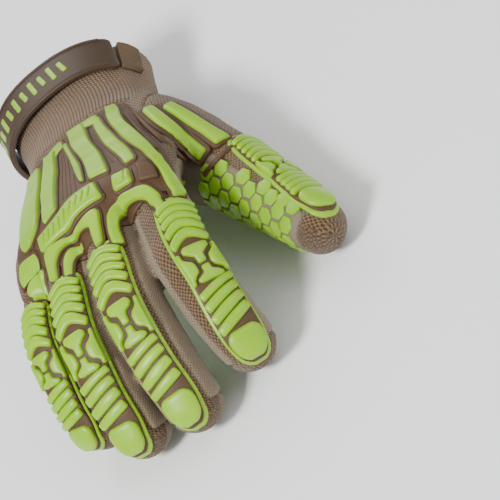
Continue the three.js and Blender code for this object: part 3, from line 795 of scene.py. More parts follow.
def bar(
    chart: "Chart | PlanChart", stops: Sequence[Sequence[float]], relief: Relief,
) -> bpy.types.Object:
    """The top of a moulded bar along a route: a flat grid laid over the skin in relief.

    Args:
        chart: the skin it lies on.
        stops: the route's stops in millimetres, with a width or with both edges.
        relief: its height and edges.

    Returns:
        The open top, with the place of each point's foot kept as an attribute.
    """
    line = with_sides(stops)
    steps = np.linalg.norm(np.diff(line[:, :2], axis=0), axis=1)
    walked = np.concatenate([[0], np.cumsum(steps)])
    length = float(walked[-1])
    ends = [e for e in SIDE_STOPS if e < length / 2 - 0.1]
    inner = np.linspace(ends[-1], length - ends[-1], max(3, int(length / ROW_SPACING)) + 1)[1:-1]
    stations = ends + list(inner) + [length - e for e in reversed(ends)]
    widest = float(line[:, 2].max())
    sides = [s for s in SIDE_STOPS if s < widest / 2 - 0.2]
    columns = max(2, int((widest - 2 * sides[-1]) / COLUMN_SPACING))
    deselect()
    bpy.ops.mesh.primitive_grid_add(
        x_subdivisions=2 * len(sides) + columns - 2, y_subdivisions=len(stations) - 1, size=1)
    piece = bpy.context.object
    foot = piece.data.attributes.new(FOOT, "FLOAT_VECTOR", "POINT")
    index = 0
    for along in stations:
        centre = np.array([np.interp(along, walked, line[:, k]) for k in range(5)])
        aside = centre[3:] / max(1e-6, float(np.linalg.norm(centre[3:])))
        end = min(along, length - along)
        corner = min(relief.corner, centre[2] / 2 - 0.1)
        cut = corner - math.sqrt(max(0.0, corner**2 - (corner - min(end, corner)) ** 2))
        half = centre[2] / 2 - cut
        squeeze = min(1.0, half / (sides[-1] + 0.4))
        offsets = [-half + s * squeeze for s in sides]
        middle = list(np.linspace(offsets[-1], -offsets[-1], columns + 1)[1:-1])
        for x in offsets + middle + [-o for o in reversed(offsets)]:
            edge = max(0.0, min(half - abs(x), end))
            fall = 1 - min(1.0, edge / relief.round_off)
            lift = relief.base + relief.rise * math.sqrt(max(0.0, 1 - fall * fall))
            place = centre[:2] + aside * x
            top = chart.at(place[0], place[1], lift)
            piece.data.vertices[index].co = top * MM
            foot.data[index].vector = chart.at(place[0], place[1], -relief.foot) * MM
            index += 1
    return piece


def moulding(name: str, tops: Sequence[bpy.types.Object]) -> bpy.types.Object:
    """Closes the open tops of a piece down to their feet, all at once.

    Args:
        name: the piece's name.
        tops: the open tops, which it takes in.

    Returns:
        The closed piece.
    """
    piece = fuse(name, tops)
    bpy.ops.object.mode_set(mode="EDIT")
    bpy.ops.mesh.select_all(action="SELECT")
    bpy.ops.mesh.extrude_region()
    bpy.ops.object.mode_set(mode="OBJECT")
    foot = piece.data.attributes[FOOT]
    for vertex in piece.data.vertices:
        if vertex.select:
            vertex.co = foot.data[vertex.index].vector
    piece.data.attributes.remove(piece.data.attributes[FOOT])
    outward(piece)
    shade(piece)
    return piece


def outward(piece: bpy.types.Object) -> None:
    """Turns every face of a piece outwards.

    Args:
        piece: a closed piece.
    """
    choose(piece)
    bpy.ops.object.mode_set(mode="EDIT")
    bpy.ops.mesh.select_all(action="SELECT")
    bpy.ops.mesh.normals_make_consistent(inside=False)
    bpy.ops.object.mode_set(mode="OBJECT")


PROBE_REACH = 3
PLAN_PROBES = [(0.0, 0.0)]
PLAN_PROBES += [(PROBE_REACH * math.cos(k), PROBE_REACH * math.sin(k)) for k in range(6)]
ABOVE = 200


class PlanChart:
    """The skin seen from above: across is x, along is y."""

    def __init__(self, tree: BVHTree) -> None:
        """Keeps the skin, in millimetres."""
        self.tree = tree

    def at(self, across: float, along: float, lift: float = 0.0) -> np.ndarray:
        """The point of the skin under a place, smoothed over a few probes round it.

        Args:
            across: the place's x.
            along: the place's y.
            lift: the height over the skin.

        Returns:
            The point in millimetres.
        """
        total, heights = Vector((0, 0, 0)), []
        for dx, dy in PLAN_PROBES:
            over = Vector((across + dx, along + dy, ABOVE))
            hit, normal, _, _ = self.tree.ray_cast(over, Vector((0, 0, -1)))
            if hit is not None:
                total += normal
                heights.append(hit.z)
        if not heights:
            hit, total, _, _ = self.tree.find_nearest(Vector((across, along, 30)))
            heights = [hit.z]
        place = np.array([across, along, sum(heights) / len(heights)])
        return place + np.array(total.normalized()) * lift


# Cloth

# How far the cloth is drawn in along a seam and beside it, in millimetres
SEAM_DEPTH = 0.75
SEAM_SHOULDER = 0.25


def tube_mesh(
    name: str, point: Callable[[float, float], tuple[float, float, float]], start: float, end: float,
    sides: int = 72, step: float = 1.5,
) -> bpy.types.Object:
    """Lofts a closed body through rings of a skin.

    Args:
        name: the body's name.
        point: gives a point of the skin from an angle in radians and a station.
        start: the first station.
        end: the last station.
        sides: points in a ring.
        step: how far apart the rings are, at least.

    Returns:
        The body.
    """
    rings = max(2, int((end - start) / step))
    stations = list(np.linspace(start, end, rings + 1))
    points = [point(2 * math.pi * i / sides, s) for s in stations for i in range(sides)]
    faces = []
    for j in range(rings):
        low, high = j * sides, (j + 1) * sides
        for i in range(sides):
            after = (i + 1) % sides
            faces.append((low + i, low + after, high + after, high + i))
    faces.append(tuple(reversed(range(sides))))
    faces.append(tuple(rings * sides + i for i in range(sides)))
    return mesh_of(name, np.array(points), faces)


def domed(tube: Tube) -> Callable[[float, float], tuple[float, float, float]]:
    """The tube's skin with its stations crowded towards the tip.

    Args:
        tube: a finger or the thumb.

    Returns:
        A function that gives a point from an angle and a share of the length.
    """
    def point(angle: float, share: float) -> tuple[float, float, float]:
        """A point from its angle and its share of the length, eased at the tip."""
        s = tube.length * (1 - (1 - share) ** 1.6)
        return tube.point(angle, min(s, tube.length - 0.02))
    return point


@dataclass
class Cloth:
    """The glove's cloth and leather: one skin, eased and creased, then parted along its seams.

    voxel is the size of its mesh, sides the points round the hand, ease how often it is smoothed,
    crease and ripple how far its slow and quick creases stand, and clear the height over the floor
    where they begin.
    """

    form: GloveForm
    voxel: float = 1.0
    sides: int = 120
    ease: int = 7
    crease: float = 0.55
    ripple: float = 0.3
    clear: float = 1.5

    def grow(self) -> bpy.types.Object:
        """Grows one closed skin over the hand, the fingers and the thumb.

        Returns:
            The skin.
        """
        bodies = [tube_mesh("hand", self.form.hand, -CUFF_LENGTH, HAND_END, self.sides)]
        for tube in [*self.form.fingers, self.form.thumb]:
            bodies.append(tube_mesh(tube.name, domed(tube), 0.0, 1.0, step=0.012))
        skin = fuse("skin", bodies)
        outward(skin)
        finish_with(skin, "REMESH", mode="VOXEL", voxel_size=self.voxel * MM, adaptivity=0.0)
        finish_with(skin, "SMOOTH", factor=0.5, iterations=self.ease)
        return skin

    def ruffle(self, skin: bpy.types.Object) -> None:
        """Presses slight creases into the skin, but not where it rests on the floor.

        Args:
            skin: the closed skin.
        """
        mesh = skin.data
        normals = [vertex.normal.copy() for vertex in mesh.vertices]
        for vertex, normal in zip(mesh.vertices, normals):
            p = Vector(vertex.co) / MM
            slow = noise.noise(p * 0.045)
            quick = noise.noise(Vector((p.x * 0.09, p.y * 0.16, p.z * 0.09)))
            rest = smooth((p.z - self.clear) / 6)
            vertex.co += normal * (self.crease * slow + self.ripple * quick) * rest * MM
        mesh.update()

    def build(self, looks: "Looks") -> BVHTree:
        """Makes every panel.

        Args:
            looks: the materials.

        Returns:
            A search tree of the whole skin, in millimetres, for what lies on it.
        """
        skin = self.grow()
        self.ruffle(skin)
        panels = cut_panels(skin, Atlas(self.form))
        tree = tree_of(skin)
        bpy.data.objects.remove(skin)
        for name, panel in panels.items():
            slot, material = looks.of_panel(name)
            keep(panel, slot, material, [name])
        return tree


def tree_of(skin: bpy.types.Object) -> BVHTree:
    """A search tree of a mesh, in millimetres."""
    points = [v.co / MM for v in skin.data.vertices]
    return BVHTree.FromPolygons(points, [tuple(p.vertices) for p in skin.data.polygons])


@dataclass
class Atlas:
    """Where each point of the skin lies: its part, angle, station and cloth coordinates."""

    form: GloveForm
    parts: list[str] = field(default_factory=list)
    rows: list[tuple[float, float, float]] = field(default_factory=list)
    places: list[np.ndarray] = field(default_factory=list)
    ways: list[tuple[np.ndarray, np.ndarray]] = field(default_factory=list)

    def __post_init__(self) -> None:
        """Samples every part of the form and sorts the samples for searching."""
        self._sample("hand", self.form.hand, (-CUFF_LENGTH, HAND_END), 0.0)
        for tube in self.form.fingers:
            self._sample(tube.name, tube.point, (FINGER_ROOM - 3, tube.length - 0.3), 0.0)
        self._sample("thumb", self.form.thumb.point, (12.0, self.form.thumb.length - 0.3), 0.0)
        self.tree = KDTree(len(self.places))
        for i, place in enumerate(self.places):
            self.tree.insert(Vector(place), i)
        self.tree.balance()

    def _sample(
        self, name: str, point: Callable[[float, float], tuple[float, float, float]],
        stations: tuple[float, float], ridge: float,
    ) -> None:
        """Samples one part all the way round, each two degrees and millimetre.

        Args:
            name: the part's name.
            point: gives a point of its skin from an angle in radians and a station.
            stations: its first and last station.
            ridge: the angle that its arcs are measured from.
        """
        chart = Chart(point, (0.0, 358.0), stations, ridge, step=2.0)
        down = np.gradient(chart.points, axis=0)
        around = np.gradient(chart.points, axis=1)
        for j, station in enumerate(chart.stations):
            for i, angle in enumerate(chart.angles):
                self.parts.append(name)
                self.rows.append((float(angle), float(station), float(-chart.arcs[j, i])))
                self.places.append(chart.points[j, i])
                self.ways.append((down[j, i], around[j, i]))

    def find(self, place: Vector) -> tuple[str, float, float, float]:
        """Finds where a point lies on the glove.

        Args:
            place: the point in millimetres.

        Returns:
            Its part, its angle in degrees, its station and its arc round the skin.
        """
        _, i, _ = self.tree.find(place)
        off = np.array(place) - self.places[i]
        angle, station, arc = self.rows[i]
        down, around = self.ways[i]
        length = max(0.2, float(np.linalg.norm(around)))
        along = float(off @ down) / max(0.04, float(down @ down))
        aside = float(off @ around) / length
        turned = angle + 2 * max(-2.0, min(2.0, aside / length))
        return self.parts[i], turned, station + along, arc + aside


def palm_edge(s: float) -> float:
    """Degrees below the sides at which the leather palm begins."""
    return 26 - 24 * smooth((s + 0.1 * PALM_LENGTH) / (0.3 * PALM_LENGTH))


def scoop(angle: float, s: float) -> float:
    """How far the cuff's mouth is cut back.

    Args:
        angle: the place round the wrist in degrees.
        s: the station.

    Returns:
        Millimetres from the cuff's end.
    """
    edge = palm_edge(s)
    share = (angle + edge) / (180 + 2 * edge)
    return SCOOP * CUFF_LENGTH * smooth(1 - abs(share - 0.55) / 0.33)


def panel_of(form: GloveForm, part: str, angle: float, s: float) -> str:
    """The panel that a point of the skin belongs to.

    Args:
        form: the glove's form.
        part: the hand, a finger or the thumb.
        angle: the place round it in degrees.
        s: the station along it.

    Returns:
        The panel's name, or open in the cuff's mouth.
    """
    angle %= 360
    if part == "hand":
        signed = angle if angle < 270 else angle - 360
        edge = palm_edge(s)
        if not -edge < signed < 180 + edge:
            return "palm"
        if s < KNIT_END:
            return "open" if s < -CUFF_LENGTH + scoop(signed, s) else "cuff"
        return "hand_back"
    if part == "thumb":
        cap = form.thumb.length - TIP_CAP * THUMB_WIDTH / 2
        if THUMB_BACK[0] < angle < THUMB_BACK[1] or s > cap:
            return "thumb_back"
        return "thumb_front"
    index = [row.name for row in FINGER_ROWS].index(part)
    row = FINGER_ROWS[index]
    cap = row.length * FINGER_LENGTH - TIP_CAP * row.girth * FINGER_WIDTH / 2
    if abs(angle - 90) < 90 - BACK_EDGE or (s > cap and angle < 180):
        return f"{part}_back"
    if abs(angle - 270) < 90 - BACK_EDGE or s > cap:
        return f"{part}_front"
    little_side = angle < 90 or angle > 270
    if little_side:
        return "little_outer_side" if index == 3 else f"{part}_{FINGER_ROWS[index + 1].name}_gusset"
    return "index_outer_side" if index == 0 else f"{FINGER_ROWS[index - 1].name}_{part}_gusset"


def cut_panels(skin: bpy.types.Object, atlas: Atlas) -> dict[str, bpy.types.Object]:
    """Parts the skin along its seams into closed panels of cloth.

    Args:
        skin: the closed skin.
        atlas: tells which part each point belongs to.

    Returns:
        The panels by name, each with a wall and cloth coordinates.
    """
    work = bmesh.new()
    work.from_mesh(skin.data)
    found = [atlas.find(v.co / MM) for v in work.verts]
    names: list[str] = []
    label = work.faces.layers.int.new("panel")
    for face in work.faces:
        part, angle, station, _ = atlas.find(face.calc_center_median() / MM)
        if part == "hand" and face.calc_center_median().y < MOUTH * MM and face.normal.y < -0.5:
            name = "open"
        else:
            name = panel_of(atlas.form, part, angle, station)
        if name not in names:
            names.append(name)
        face[label] = names.index(name)
    tidy_labels(work, label)
    merge_strays(work, label)
    sewn = sink_seams(work, label)
    uv = work.loops.layers.uv.new("cloth")
    for face in work.faces:
        base = found[face.verts[0].index]
        for loop in face.loops:
            part, _, station, arc = found[loop.vert.index]
            near = part == base[0] and abs(arc - base[3]) < 20
            loop[uv].uv = (arc, station) if near else (base[3], base[2])
    whole = bpy.data.meshes.new("whole")
    work.to_mesh(whole)
    work.free()
    LOG.info("skin: %d faces, %d on seams", len(whole.polygons), sewn)
    return {name: lift_panel(whole, k, name) for k, name in enumerate(names) if name != "open"}


def tidy_labels(work: bmesh.types.BMesh, label: bmesh.types.BMLayerItem) -> None:
    """Gives each stray face the name that most of its neighbours have.

    Args:
        work: the skin.
        label: each face's panel.
    """
    for _ in range(4):
        changes = []
        for face in work.faces:
            around = [other[label] for edge in face.edges for other in edge.link_faces if other != face]
            best = max(set(around), key=around.count)
            if best != face[label] and around.count(best) > len(around) / 2:
                changes.append((face, best))
        for face, best in changes:
            face[label] = best


def merge_strays(work: bmesh.types.BMesh, label: bmesh.types.BMLayerItem) -> None:
    """Gives each stray island of a panel to the panel round it.

    Args:
        work: the skin.
        label: each face's panel.
    """
    left = set(work.faces)
    islands: dict[int, list[list[bmesh.types.BMFace]]] = {}
    while left:
        seed = left.pop()
        stack, island = [seed], []
        while stack:
            face = stack.pop()
            island.append(face)
            for edge in face.edges:
                for other in edge.link_faces:
                    if other in left and other[label] == seed[label]:
                        left.remove(other)
                        stack.append(other)
        islands.setdefault(seed[label], []).append(island)
    for group in islands.values():
        for island in sorted(group, key=len)[:-1]:
            around = [
                other[label] for face in island for edge in face.edges for other in edge.link_faces
                if other[label] != face[label]
            ]
            if around:
                best = max(set(around), key=around.count)
                for face in island:
                    face[label] = best


def sink_seams(work: bmesh.types.BMesh, label: bmesh.types.BMLayerItem) -> int:
    """Smooths the lines between panels and draws the cloth in along them.

    Args:
        work: the skin.
        label: each face's panel.

    Returns:
        How many edges lie on a seam.
    """
    def on_seam(edge: bmesh.types.BMEdge) -> bool:
        """Whether an edge parts two panels."""
        return len({face[label] for face in edge.link_faces}) > 1

    seams = [edge for edge in work.edges if on_seam(edge)]
    ends: dict[bmesh.types.BMVert, list[bmesh.types.BMVert]] = {}
    for edge in seams:
        a, b = edge.verts
        ends.setdefault(a, []).append(b)
        ends.setdefault(b, []).append(a)
    for _ in range(8):
        moved = {
            v: v.co.lerp((others[0].co + others[1].co) / 2, 0.5)
            for v, others in ends.items() if len(others) == 2
        }
        for v, co in moved.items():
            v.co = co
    ring = {v for v in ends}
    near = {e.other_vert(v) for v in ring for e in v.link_edges} - ring
    for _ in range(3):
        for v in near:
            mean = sum((e.other_vert(v).co for e in v.link_edges), Vector()) / len(v.link_edges)
            v.co = v.co.lerp(mean, 0.5)
    work.normal_update()
    depth = {**{v: SEAM_SHOULDER for v in near}, **{v: SEAM_DEPTH for v in ring}}
    normals = {v: v.normal.copy() for v in depth}
    for v, d in depth.items():
        v.co -= normals[v] * d * MM
    work.normal_update()
    return len(seams)


def lift_panel(whole: bpy.types.Mesh, label: int, name: str) -> bpy.types.Object:
    """Takes one panel off the skin and gives it its wall, inwards.

    Args:
        whole: the labelled skin.
        label: the panel's number.
        name: the panel's name.

    Returns:
        The panel.
    """
    work = bmesh.new()
    work.from_mesh(whole)
    layer = work.faces.layers.int["panel"]
    others = [face for face in work.faces if face[layer] != label]
    bmesh.ops.delete(work, geom=others, context="FACES")
    keep_largest(work)
    work.faces.layers.int.remove(work.faces.layers.int["panel"])
    mesh = bpy.data.meshes.new(name)
    work.to_mesh(mesh)
    work.free()
    piece = bpy.data.objects.new(name, mesh)
    bpy.context.scene.collection.objects.link(piece)
    finish_with(piece, "SOLIDIFY", thickness=WALL * MM, offset=-1)
    shade(piece)
    return piece


def keep_largest(work: bmesh.types.BMesh) -> None:
    """Drops the loose scraps of a cut mesh, all but its biggest body.

    Args:
        work: the cut mesh.
    """
    left, bodies = set(work.faces), []
    while left:
        stack, body = [left.pop()], []
        while stack:
            face = stack.pop()
            body.append(face)
            for edge in face.edges:
                for other in edge.link_faces:
                    if other in left:
                        left.remove(other)
                        stack.append(other)
        bodies.append(body)
    bodies.sort(key=len)
    scraps = [face for body in bodies[:-1] for face in body]
    if scraps:
        bmesh.ops.delete(work, geom=scraps, context="FACES")


# Materials


def linear(red: int, green: int, blue: int) -> tuple[float, float, float, float]:
    """A screen colour of 0 to 255 a channel, as the shaders' linear values."""
    channels = (((c / 255 + 0.055) / 1.055) ** 2.4 if c > 10 else c / 3294 for c in (red, green, blue))
    return (*channels, 1.0)


class Nodes:
    """Adds shader nodes to a tree, with their sockets joined or set."""

    def __init__(self, tree: bpy.types.NodeTree) -> None:
        """Keeps the tree."""
        self.tree = tree

    def add(
        self, kind: str, inputs: dict[int | str, object] | None = None, **settings: object,
    ) -> bpy.types.Node:
        """Adds a node.

        Args:
            kind: the node's type.
            inputs: for a socket's name or place, its value or the socket to join it to.
            **settings: the node's settings by name.

        Returns:
            The node.
        """
        node = self.tree.nodes.new(kind)
        for key, value in settings.items():
            setattr(node, key, value)
        for key, value in (inputs or {}).items():
            if isinstance(value, bpy.types.NodeSocket):
                self.tree.links.new(value, node.inputs[key])
            else:
                node.inputs[key].default_value = value
        return node

    def math(self, operation: str, *values: object) -> bpy.types.NodeSocket:
        """The result of a sum."""
        return self.add("ShaderNodeMath", dict(enumerate(values)), operation=operation).outputs[0]

    def noise(self, vector: bpy.types.NodeSocket, scale: object, detail: float) -> bpy.types.NodeSocket:
        """Cloudy noise from 0 to 1."""
        inputs = {"Vector": vector, "Scale": scale, "Detail": detail}
        return self.add("ShaderNodeTexNoise", inputs).outputs[0]


def group(name: str, inputs: dict[str, str], outputs: dict[str, str]) -> tuple[bpy.types.NodeTree, Nodes]:
    """Makes a new node group.

    Args:
        name: its name.
        inputs: the type of each named input.
        outputs: the type of each named output.

    Returns:
        The group's tree, and the hand that adds its nodes.
    """
    tree = bpy.data.node_groups.new(name, "ShaderNodeTree")
    for side, sockets in (("INPUT", inputs), ("OUTPUT", outputs)):
        for socket, kind in sockets.items():
            tree.interface.new_socket(socket, in_out=side, socket_type=kind)
    return tree, Nodes(tree)


FLOAT, VECTOR, COLOR = "NodeSocketFloat", "NodeSocketVector", "NodeSocketColor"


def weave_group() -> bpy.types.NodeTree:
    """Threads crossing over and under: a height and a mask of the raised ones.

    Returns:
        The group.
    """
    tree, nodes = group("Weave", {"Place": VECTOR, "Pitch": FLOAT}, {"Height": FLOAT, "Raised": FLOAT})
    source, sink = nodes.add("NodeGroupInput"), nodes.add("NodeGroupOutput")
    place = source.outputs[0]
    wobble = nodes.add("ShaderNodeTexNoise", {"Vector": place, "Scale": 0.35, "Detail": 1.0})
    moved = nodes.add("ShaderNodeVectorMath", {0: place, 1: wobble.outputs["Color"]}, operation="ADD")
    parts = nodes.add("ShaderNodeSeparateXYZ", {0: moved.outputs[0]})
    waves = []
    for axis in (0, 1):
        turn = nodes.math("DIVIDE", nodes.math("MULTIPLY", parts.outputs[axis], math.pi), source.outputs[1])
        waves.append(nodes.math("SINE", turn))
    crossing = nodes.math("MULTIPLY", *waves)
    fibre = nodes.noise(source.outputs[0], 3.0, 2.0)
    height = nodes.math("MULTIPLY_ADD", fibre, 0.35, nodes.math("ABSOLUTE", crossing))
    raised = nodes.add(
        "ShaderNodeMapRange", {0: crossing, 1: -0.35, 2: 0.35}, interpolation_type="SMOOTHSTEP")
    tree.links.new(height, sink.inputs[0])
    tree.links.new(raised.outputs[0], sink.inputs[1])
    return tree


def knit_group() -> bpy.types.NodeTree:
    """Ribs of knitted loops: a height and a mask of the crests.

    Returns:
        The group.
    """
    tree, nodes = group("Knit", {"Place": VECTOR, "Pitch": FLOAT}, {"Height": FLOAT, "Raised": FLOAT})
    source, sink = nodes.add("NodeGroupInput"), nodes.add("NodeGroupOutput")
    parts = nodes.add("ShaderNodeSeparateXYZ", {0: source.outputs[0]})
    column = nodes.math("DIVIDE", nodes.math("MULTIPLY", parts.outputs[0], math.pi), source.outputs[1])
    crest = nodes.math("ABSOLUTE", nodes.math("SINE", column))
    slant = nodes.math("MULTIPLY_ADD", crest, 1.6, nodes.math("MULTIPLY", parts.outputs[1], 4.2))
    loop = nodes.math("MULTIPLY_ADD", nodes.math("SINE", slant), 0.5, 0.5)
    height = nodes.math("MULTIPLY_ADD", loop, 0.4, crest)
    tree.links.new(height, sink.inputs[0])
    tree.links.new(nodes.math("MULTIPLY", crest, loop), sink.inputs[1])
    return tree


def grain_group() -> bpy.types.NodeTree:
    """Fine grain and broad patches, both from 0 to 1.

    Returns:
        The group.
    """
    tree, nodes = group("Grain", {"Fine": FLOAT, "Broad": FLOAT}, {"Grain": FLOAT, "Patches": FLOAT})
    source, sink = nodes.add("NodeGroupInput"), nodes.add("NodeGroupOutput")
    place = nodes.add("ShaderNodeTexCoord").outputs["Object"]
    tree.links.new(nodes.noise(place, source.outputs[0], 4.0), sink.inputs[0])
    tree.links.new(nodes.noise(place, source.outputs[1], 2.0), sink.inputs[1])
    return tree


@dataclass(frozen=True)
class Finish:
    """A material: its colours, its surface, and the pattern that it is worked in.

    pattern is a node group's name or nothing, pitch its size in millimetres, and depth how far
    its threads stand up in millimetres. fine and broad are the grain's sizes per metre.
    """

    name: str
    dark: tuple[int, int, int]
    light: tuple[int, int, int]
    roughness: float
    pattern: str = ""
    pitch: float = 1.0
    depth: float = 0.1
    fine: float = 1500.0
    broad: float = 60.0
    sheen: float = 0.0


def material_of(finish: Finish, groups: dict[str, bpy.types.NodeTree]) -> bpy.types.Material:
    """Builds a material.

    Args:
        finish: its colours, surface and pattern.
        groups: the node groups by name.

    Returns:
        The material.
    """
    material = bpy.data.materials.new(finish.name)
    material.use_nodes = True
    material.node_tree.nodes.clear()
    nodes = Nodes(material.node_tree)
    grain = nodes.add("ShaderNodeGroup", node_tree=groups["Grain"])
    grain.inputs["Fine"].default_value = finish.fine
    grain.inputs["Broad"].default_value = finish.broad
    height, mask = grain.outputs["Grain"], grain.outputs["Grain"]
    if finish.pattern:
        place = nodes.add("ShaderNodeUVMap", uv_map="cloth").outputs[0]
        worked = nodes.add("ShaderNodeGroup", node_tree=groups[finish.pattern])
        nodes.tree.links.new(place, worked.inputs["Place"])
        worked.inputs["Pitch"].default_value = finish.pitch
        height, mask = worked.outputs["Height"], worked.outputs["Raised"]
    # Painted shade: with a pattern, the sunk threads are mixed darker and the raised threads lighter;
    # without one, the mask is the grain's random tone.
    painted_thread_shade_and_grain = nodes.math("MULTIPLY_ADD", mask, 0.9, -0.25)
    shade_by = nodes.math("MULTIPLY_ADD", grain.outputs["Patches"], 0.5, painted_thread_shade_and_grain)
    ramp = nodes.add("ShaderNodeMix", {"Factor": shade_by}, data_type="RGBA")
    ramp.inputs[6].default_value = linear(*finish.dark)
    ramp.inputs[7].default_value = linear(*finish.light)
    bump = nodes.add(
        "ShaderNodeBump", {"Height": height, "Strength": 0.9, "Distance": finish.depth * MM})
    shader = nodes.add("ShaderNodeBsdfPrincipled", {
        "Base Color": ramp.outputs[2], "Roughness": finish.roughness, "Normal": bump.outputs[0],
        "Sheen Weight": finish.sheen,
    })
    nodes.add("ShaderNodeOutputMaterial", {0: shader.outputs[0]})
    return material


LIME = Finish("lime_rubber", (112, 162, 0), (162, 208, 0), 0.38, depth=0.04, fine=2600, broad=45)
GRIP = Finish("lime_grip", (106, 156, 4), (150, 198, 8), 0.46, depth=0.04, fine=2600, broad=45)
MOULDED = Finish("brown_rubber", (56, 36, 15), (92, 63, 32), 0.6, depth=0.05, fine=1800, broad=80)
STRAP_RUBBER = Finish("strap_rubber", (44, 29, 12), (70, 48, 24), 0.55, depth=0.05, fine=1800, broad=60)
# In the woven and knitted finishes, the dark colour is partly painted shade between the threads and the
# light colour partly the raised threads painted lighter; the rest is random tone.
WEAVE = Finish("woven_back", (54, 38, 21), (124, 95, 61), 0.9, "Weave", 0.95, 0.3, sheen=0.2)
STRETCH = Finish("stretch_sides", (104, 89, 70), (142, 126, 102), 0.9, "Weave", 0.7, 0.12, sheen=0.2)
KNIT = Finish("knitted_cuff", (78, 58, 39), (146, 117, 85), 0.95, "Knit", 1.7, 0.45, sheen=0.2)
LEATHER = Finish("palm_leather", (96, 84, 70), (134, 119, 100), 0.75, depth=0.08, fine=1300, broad=50)
TAB = Finish("tab_webbing", (58, 42, 26), (118, 94, 64), 0.85, depth=0.2, fine=1200, broad=90)


class Looks:
    """The glove's materials, made once."""

    def __init__(self) -> None:
        """Makes the node groups and the materials."""
        groups = {"Weave": weave_group(), "Knit": knit_group(), "Grain": grain_group()}
        self.lime = material_of(LIME, groups)
        self.grip = material_of(GRIP, groups)
        self.moulded = material_of(MOULDED, groups)
        self.strap = material_of(STRAP_RUBBER, groups)
        self.weave = material_of(WEAVE, groups)
        self.stretch = material_of(STRETCH, groups)
        self.knit = material_of(KNIT, groups)
        self.leather = material_of(LEATHER, groups)
        self.tab = material_of(TAB, groups)

    def of_panel(self, name: str) -> tuple[Slot, bpy.types.Material]:
        """A panel's slot and material, from its name.

        Args:
            name: the panel's name.

        Returns:
            The slot of the record, and the material.
        """
        if name == "cuff":
            return Slot.KNIT, self.knit
        if name == "palm" or name.endswith("_front"):
            return Slot.LEATHER, self.leather
        if name.endswith(("_gusset", "_side")):
            return Slot.STRETCH, self.stretch
        return Slot.WEAVE, self.weave


# Armour

Stops = list[list[float]]

# Both edges of each plate at each stop: across and along of its thumb-side or upper edge, then of
# the other, in millimetres from the ridge of the back and from the wrist.
BACK_PLATES: dict[str, list[Stops]] = {
    "radial_bar": [[
        [-19, 25, -25, 26], [-21, 42, -28, 46], [-30, 68, -37, 69], [-38, 83, -44, 86],
        [-42, 91, -48, 94], [-47, 99, -53, 100], [-51.5, 110, -57, 109]]],
    "window_plate": [
        [[1.5, 24, -8, 27], [-1, 42, -11, 46], [-8, 63, -17.5, 66], [-12, 81, -22, 83.5]],
        [[-12, 30, -16, 28], [-13.5, 40, -18.5, 40], [-18, 57, -24.5, 58], [-25, 74, -31, 74],
         [-29.5, 85, -34.5, 84]],
        [[0, 23.5, -1, 33], [-8, 24, -9, 32], [-15.5, 25, -15, 35]],
    ],
    "inner_window_plate": [
        [[17, 28, 9, 31], [17.5, 45, 8.5, 47], [17, 67, 7.5, 70], [15, 86, 6.5, 83]],
        [[5, 33, 2.6, 31], [1.5, 48, -1.5, 48], [-2, 62, -6, 63], [-6.5, 77, -9, 79]],
        [[17, 26.5, 10, 39], [10, 24.5, 7, 35], [5, 24.5, 4, 34]],
    ],
    "ulnar_bar": [
        [[30, 29, 20, 31], [32, 45, 19.5, 48], [33, 65, 19, 67], [33, 82, 19.5, 84], [32, 89, 25, 88]],
        [[38, 90.5, 26, 90.5], [42, 97, 25.5, 94], [43, 103, 35, 100]],
    ],
    "knuckle_bar": [[[-15, 84, -17, 91], [-3, 83.5, -5, 91], [9, 86.5, 8, 93], [20, 88.5, 20, 95]]],
    "square_pad": [[[-23, 86, -22, 91.5], [-31.5, 88, -33, 94]]],
    "index_middle_plate": [[
        [-16, 114, -21, 116], [-16, 104, -20.5, 107], [-17.5, 96.5, -22, 102], [-23, 93.5, -28, 100],
        [-33, 96, -35.5, 102.5], [-41, 99, -40, 106], [-46.5, 107, -43, 111], [-48.5, 115, -45, 117]]],
    "middle_ring_plate": [
        [[21.5, 111, 17, 112], [20.5, 101, 15.5, 103], [18.5, 95.5, 11, 98], [8, 94, 3.5, 96.5],
         [-4, 93.5, -4.5, 97], [-13, 93.5, -8.5, 99], [-14, 102, -9, 104], [-13.5, 110, -9.5, 111]],
        [[14.5, 112, 10.5, 113], [13, 104, 9, 106], [8.5, 98.5, 4.5, 102.5], [-1, 99, -2, 103.5]],
    ],
    "ring_little_plate": [
        [[43, 112, 33, 113], [42, 106, 30, 107], [36, 101, 26, 103], [29, 97, 24.5, 100]],
    ],
}
BACK_BASE: Stops = [
    [30, 21, -27, 21], [36, 40, -32, 40], [38, 60, -37, 60], [39, 80, -46, 80], [40, 98, -52, 98],
    [40, 105, -55, 105]]
WINDOW_LINES: tuple[Stops, ...] = (
    [[-3, 40, -13, 40], [-8, 60, -19, 60], [-14, 78, -26, 79]],
    [[7.5, 40, 1.5, 40], [7.5, 60, -3, 60], [6, 80, -7, 82]],
)
# Seen from above: x, y and width in millimetres.
SADDLE_BARS: dict[str, Stops] = {
    "inner_saddle_bar": [[-37.5, 34.5, 5.2], [-43.5, 49, 5.4], [-49, 61, 5.4], [-53.5, 72, 6]],
    "outer_saddle_bar": [[-45, 36.5, 4.8], [-51, 47.5, 5.2], [-57.5, 60, 5.2], [-62.5, 70, 6]],
}
SADDLE_RIDGES: tuple[Stops, ...] = (
    [[-29, 33, 1.8], [-34.5, 49, 2.0], [-39.5, 62, 2.0], [-43, 73, 1.8]],
    [[-32.5, 33.5, 1.8], [-38, 49, 2.0], [-43, 62, 2.0], [-47, 73, 1.8]],
    [[-49.5, 78.5, 2.6], [-58, 78, 2.6], [-66, 74.5, 2.4]],
)
BAR_RELIEF = Relief(rise=3.0, round_off=1.1, foot=1.0, corner=1.6)
LOW_RELIEF = Relief(rise=1.9, round_off=0.8, foot=1.0, corner=1.6)
BORDER_RELIEF = Relief(rise=1.5, round_off=0.6, foot=1.0, corner=2.6)
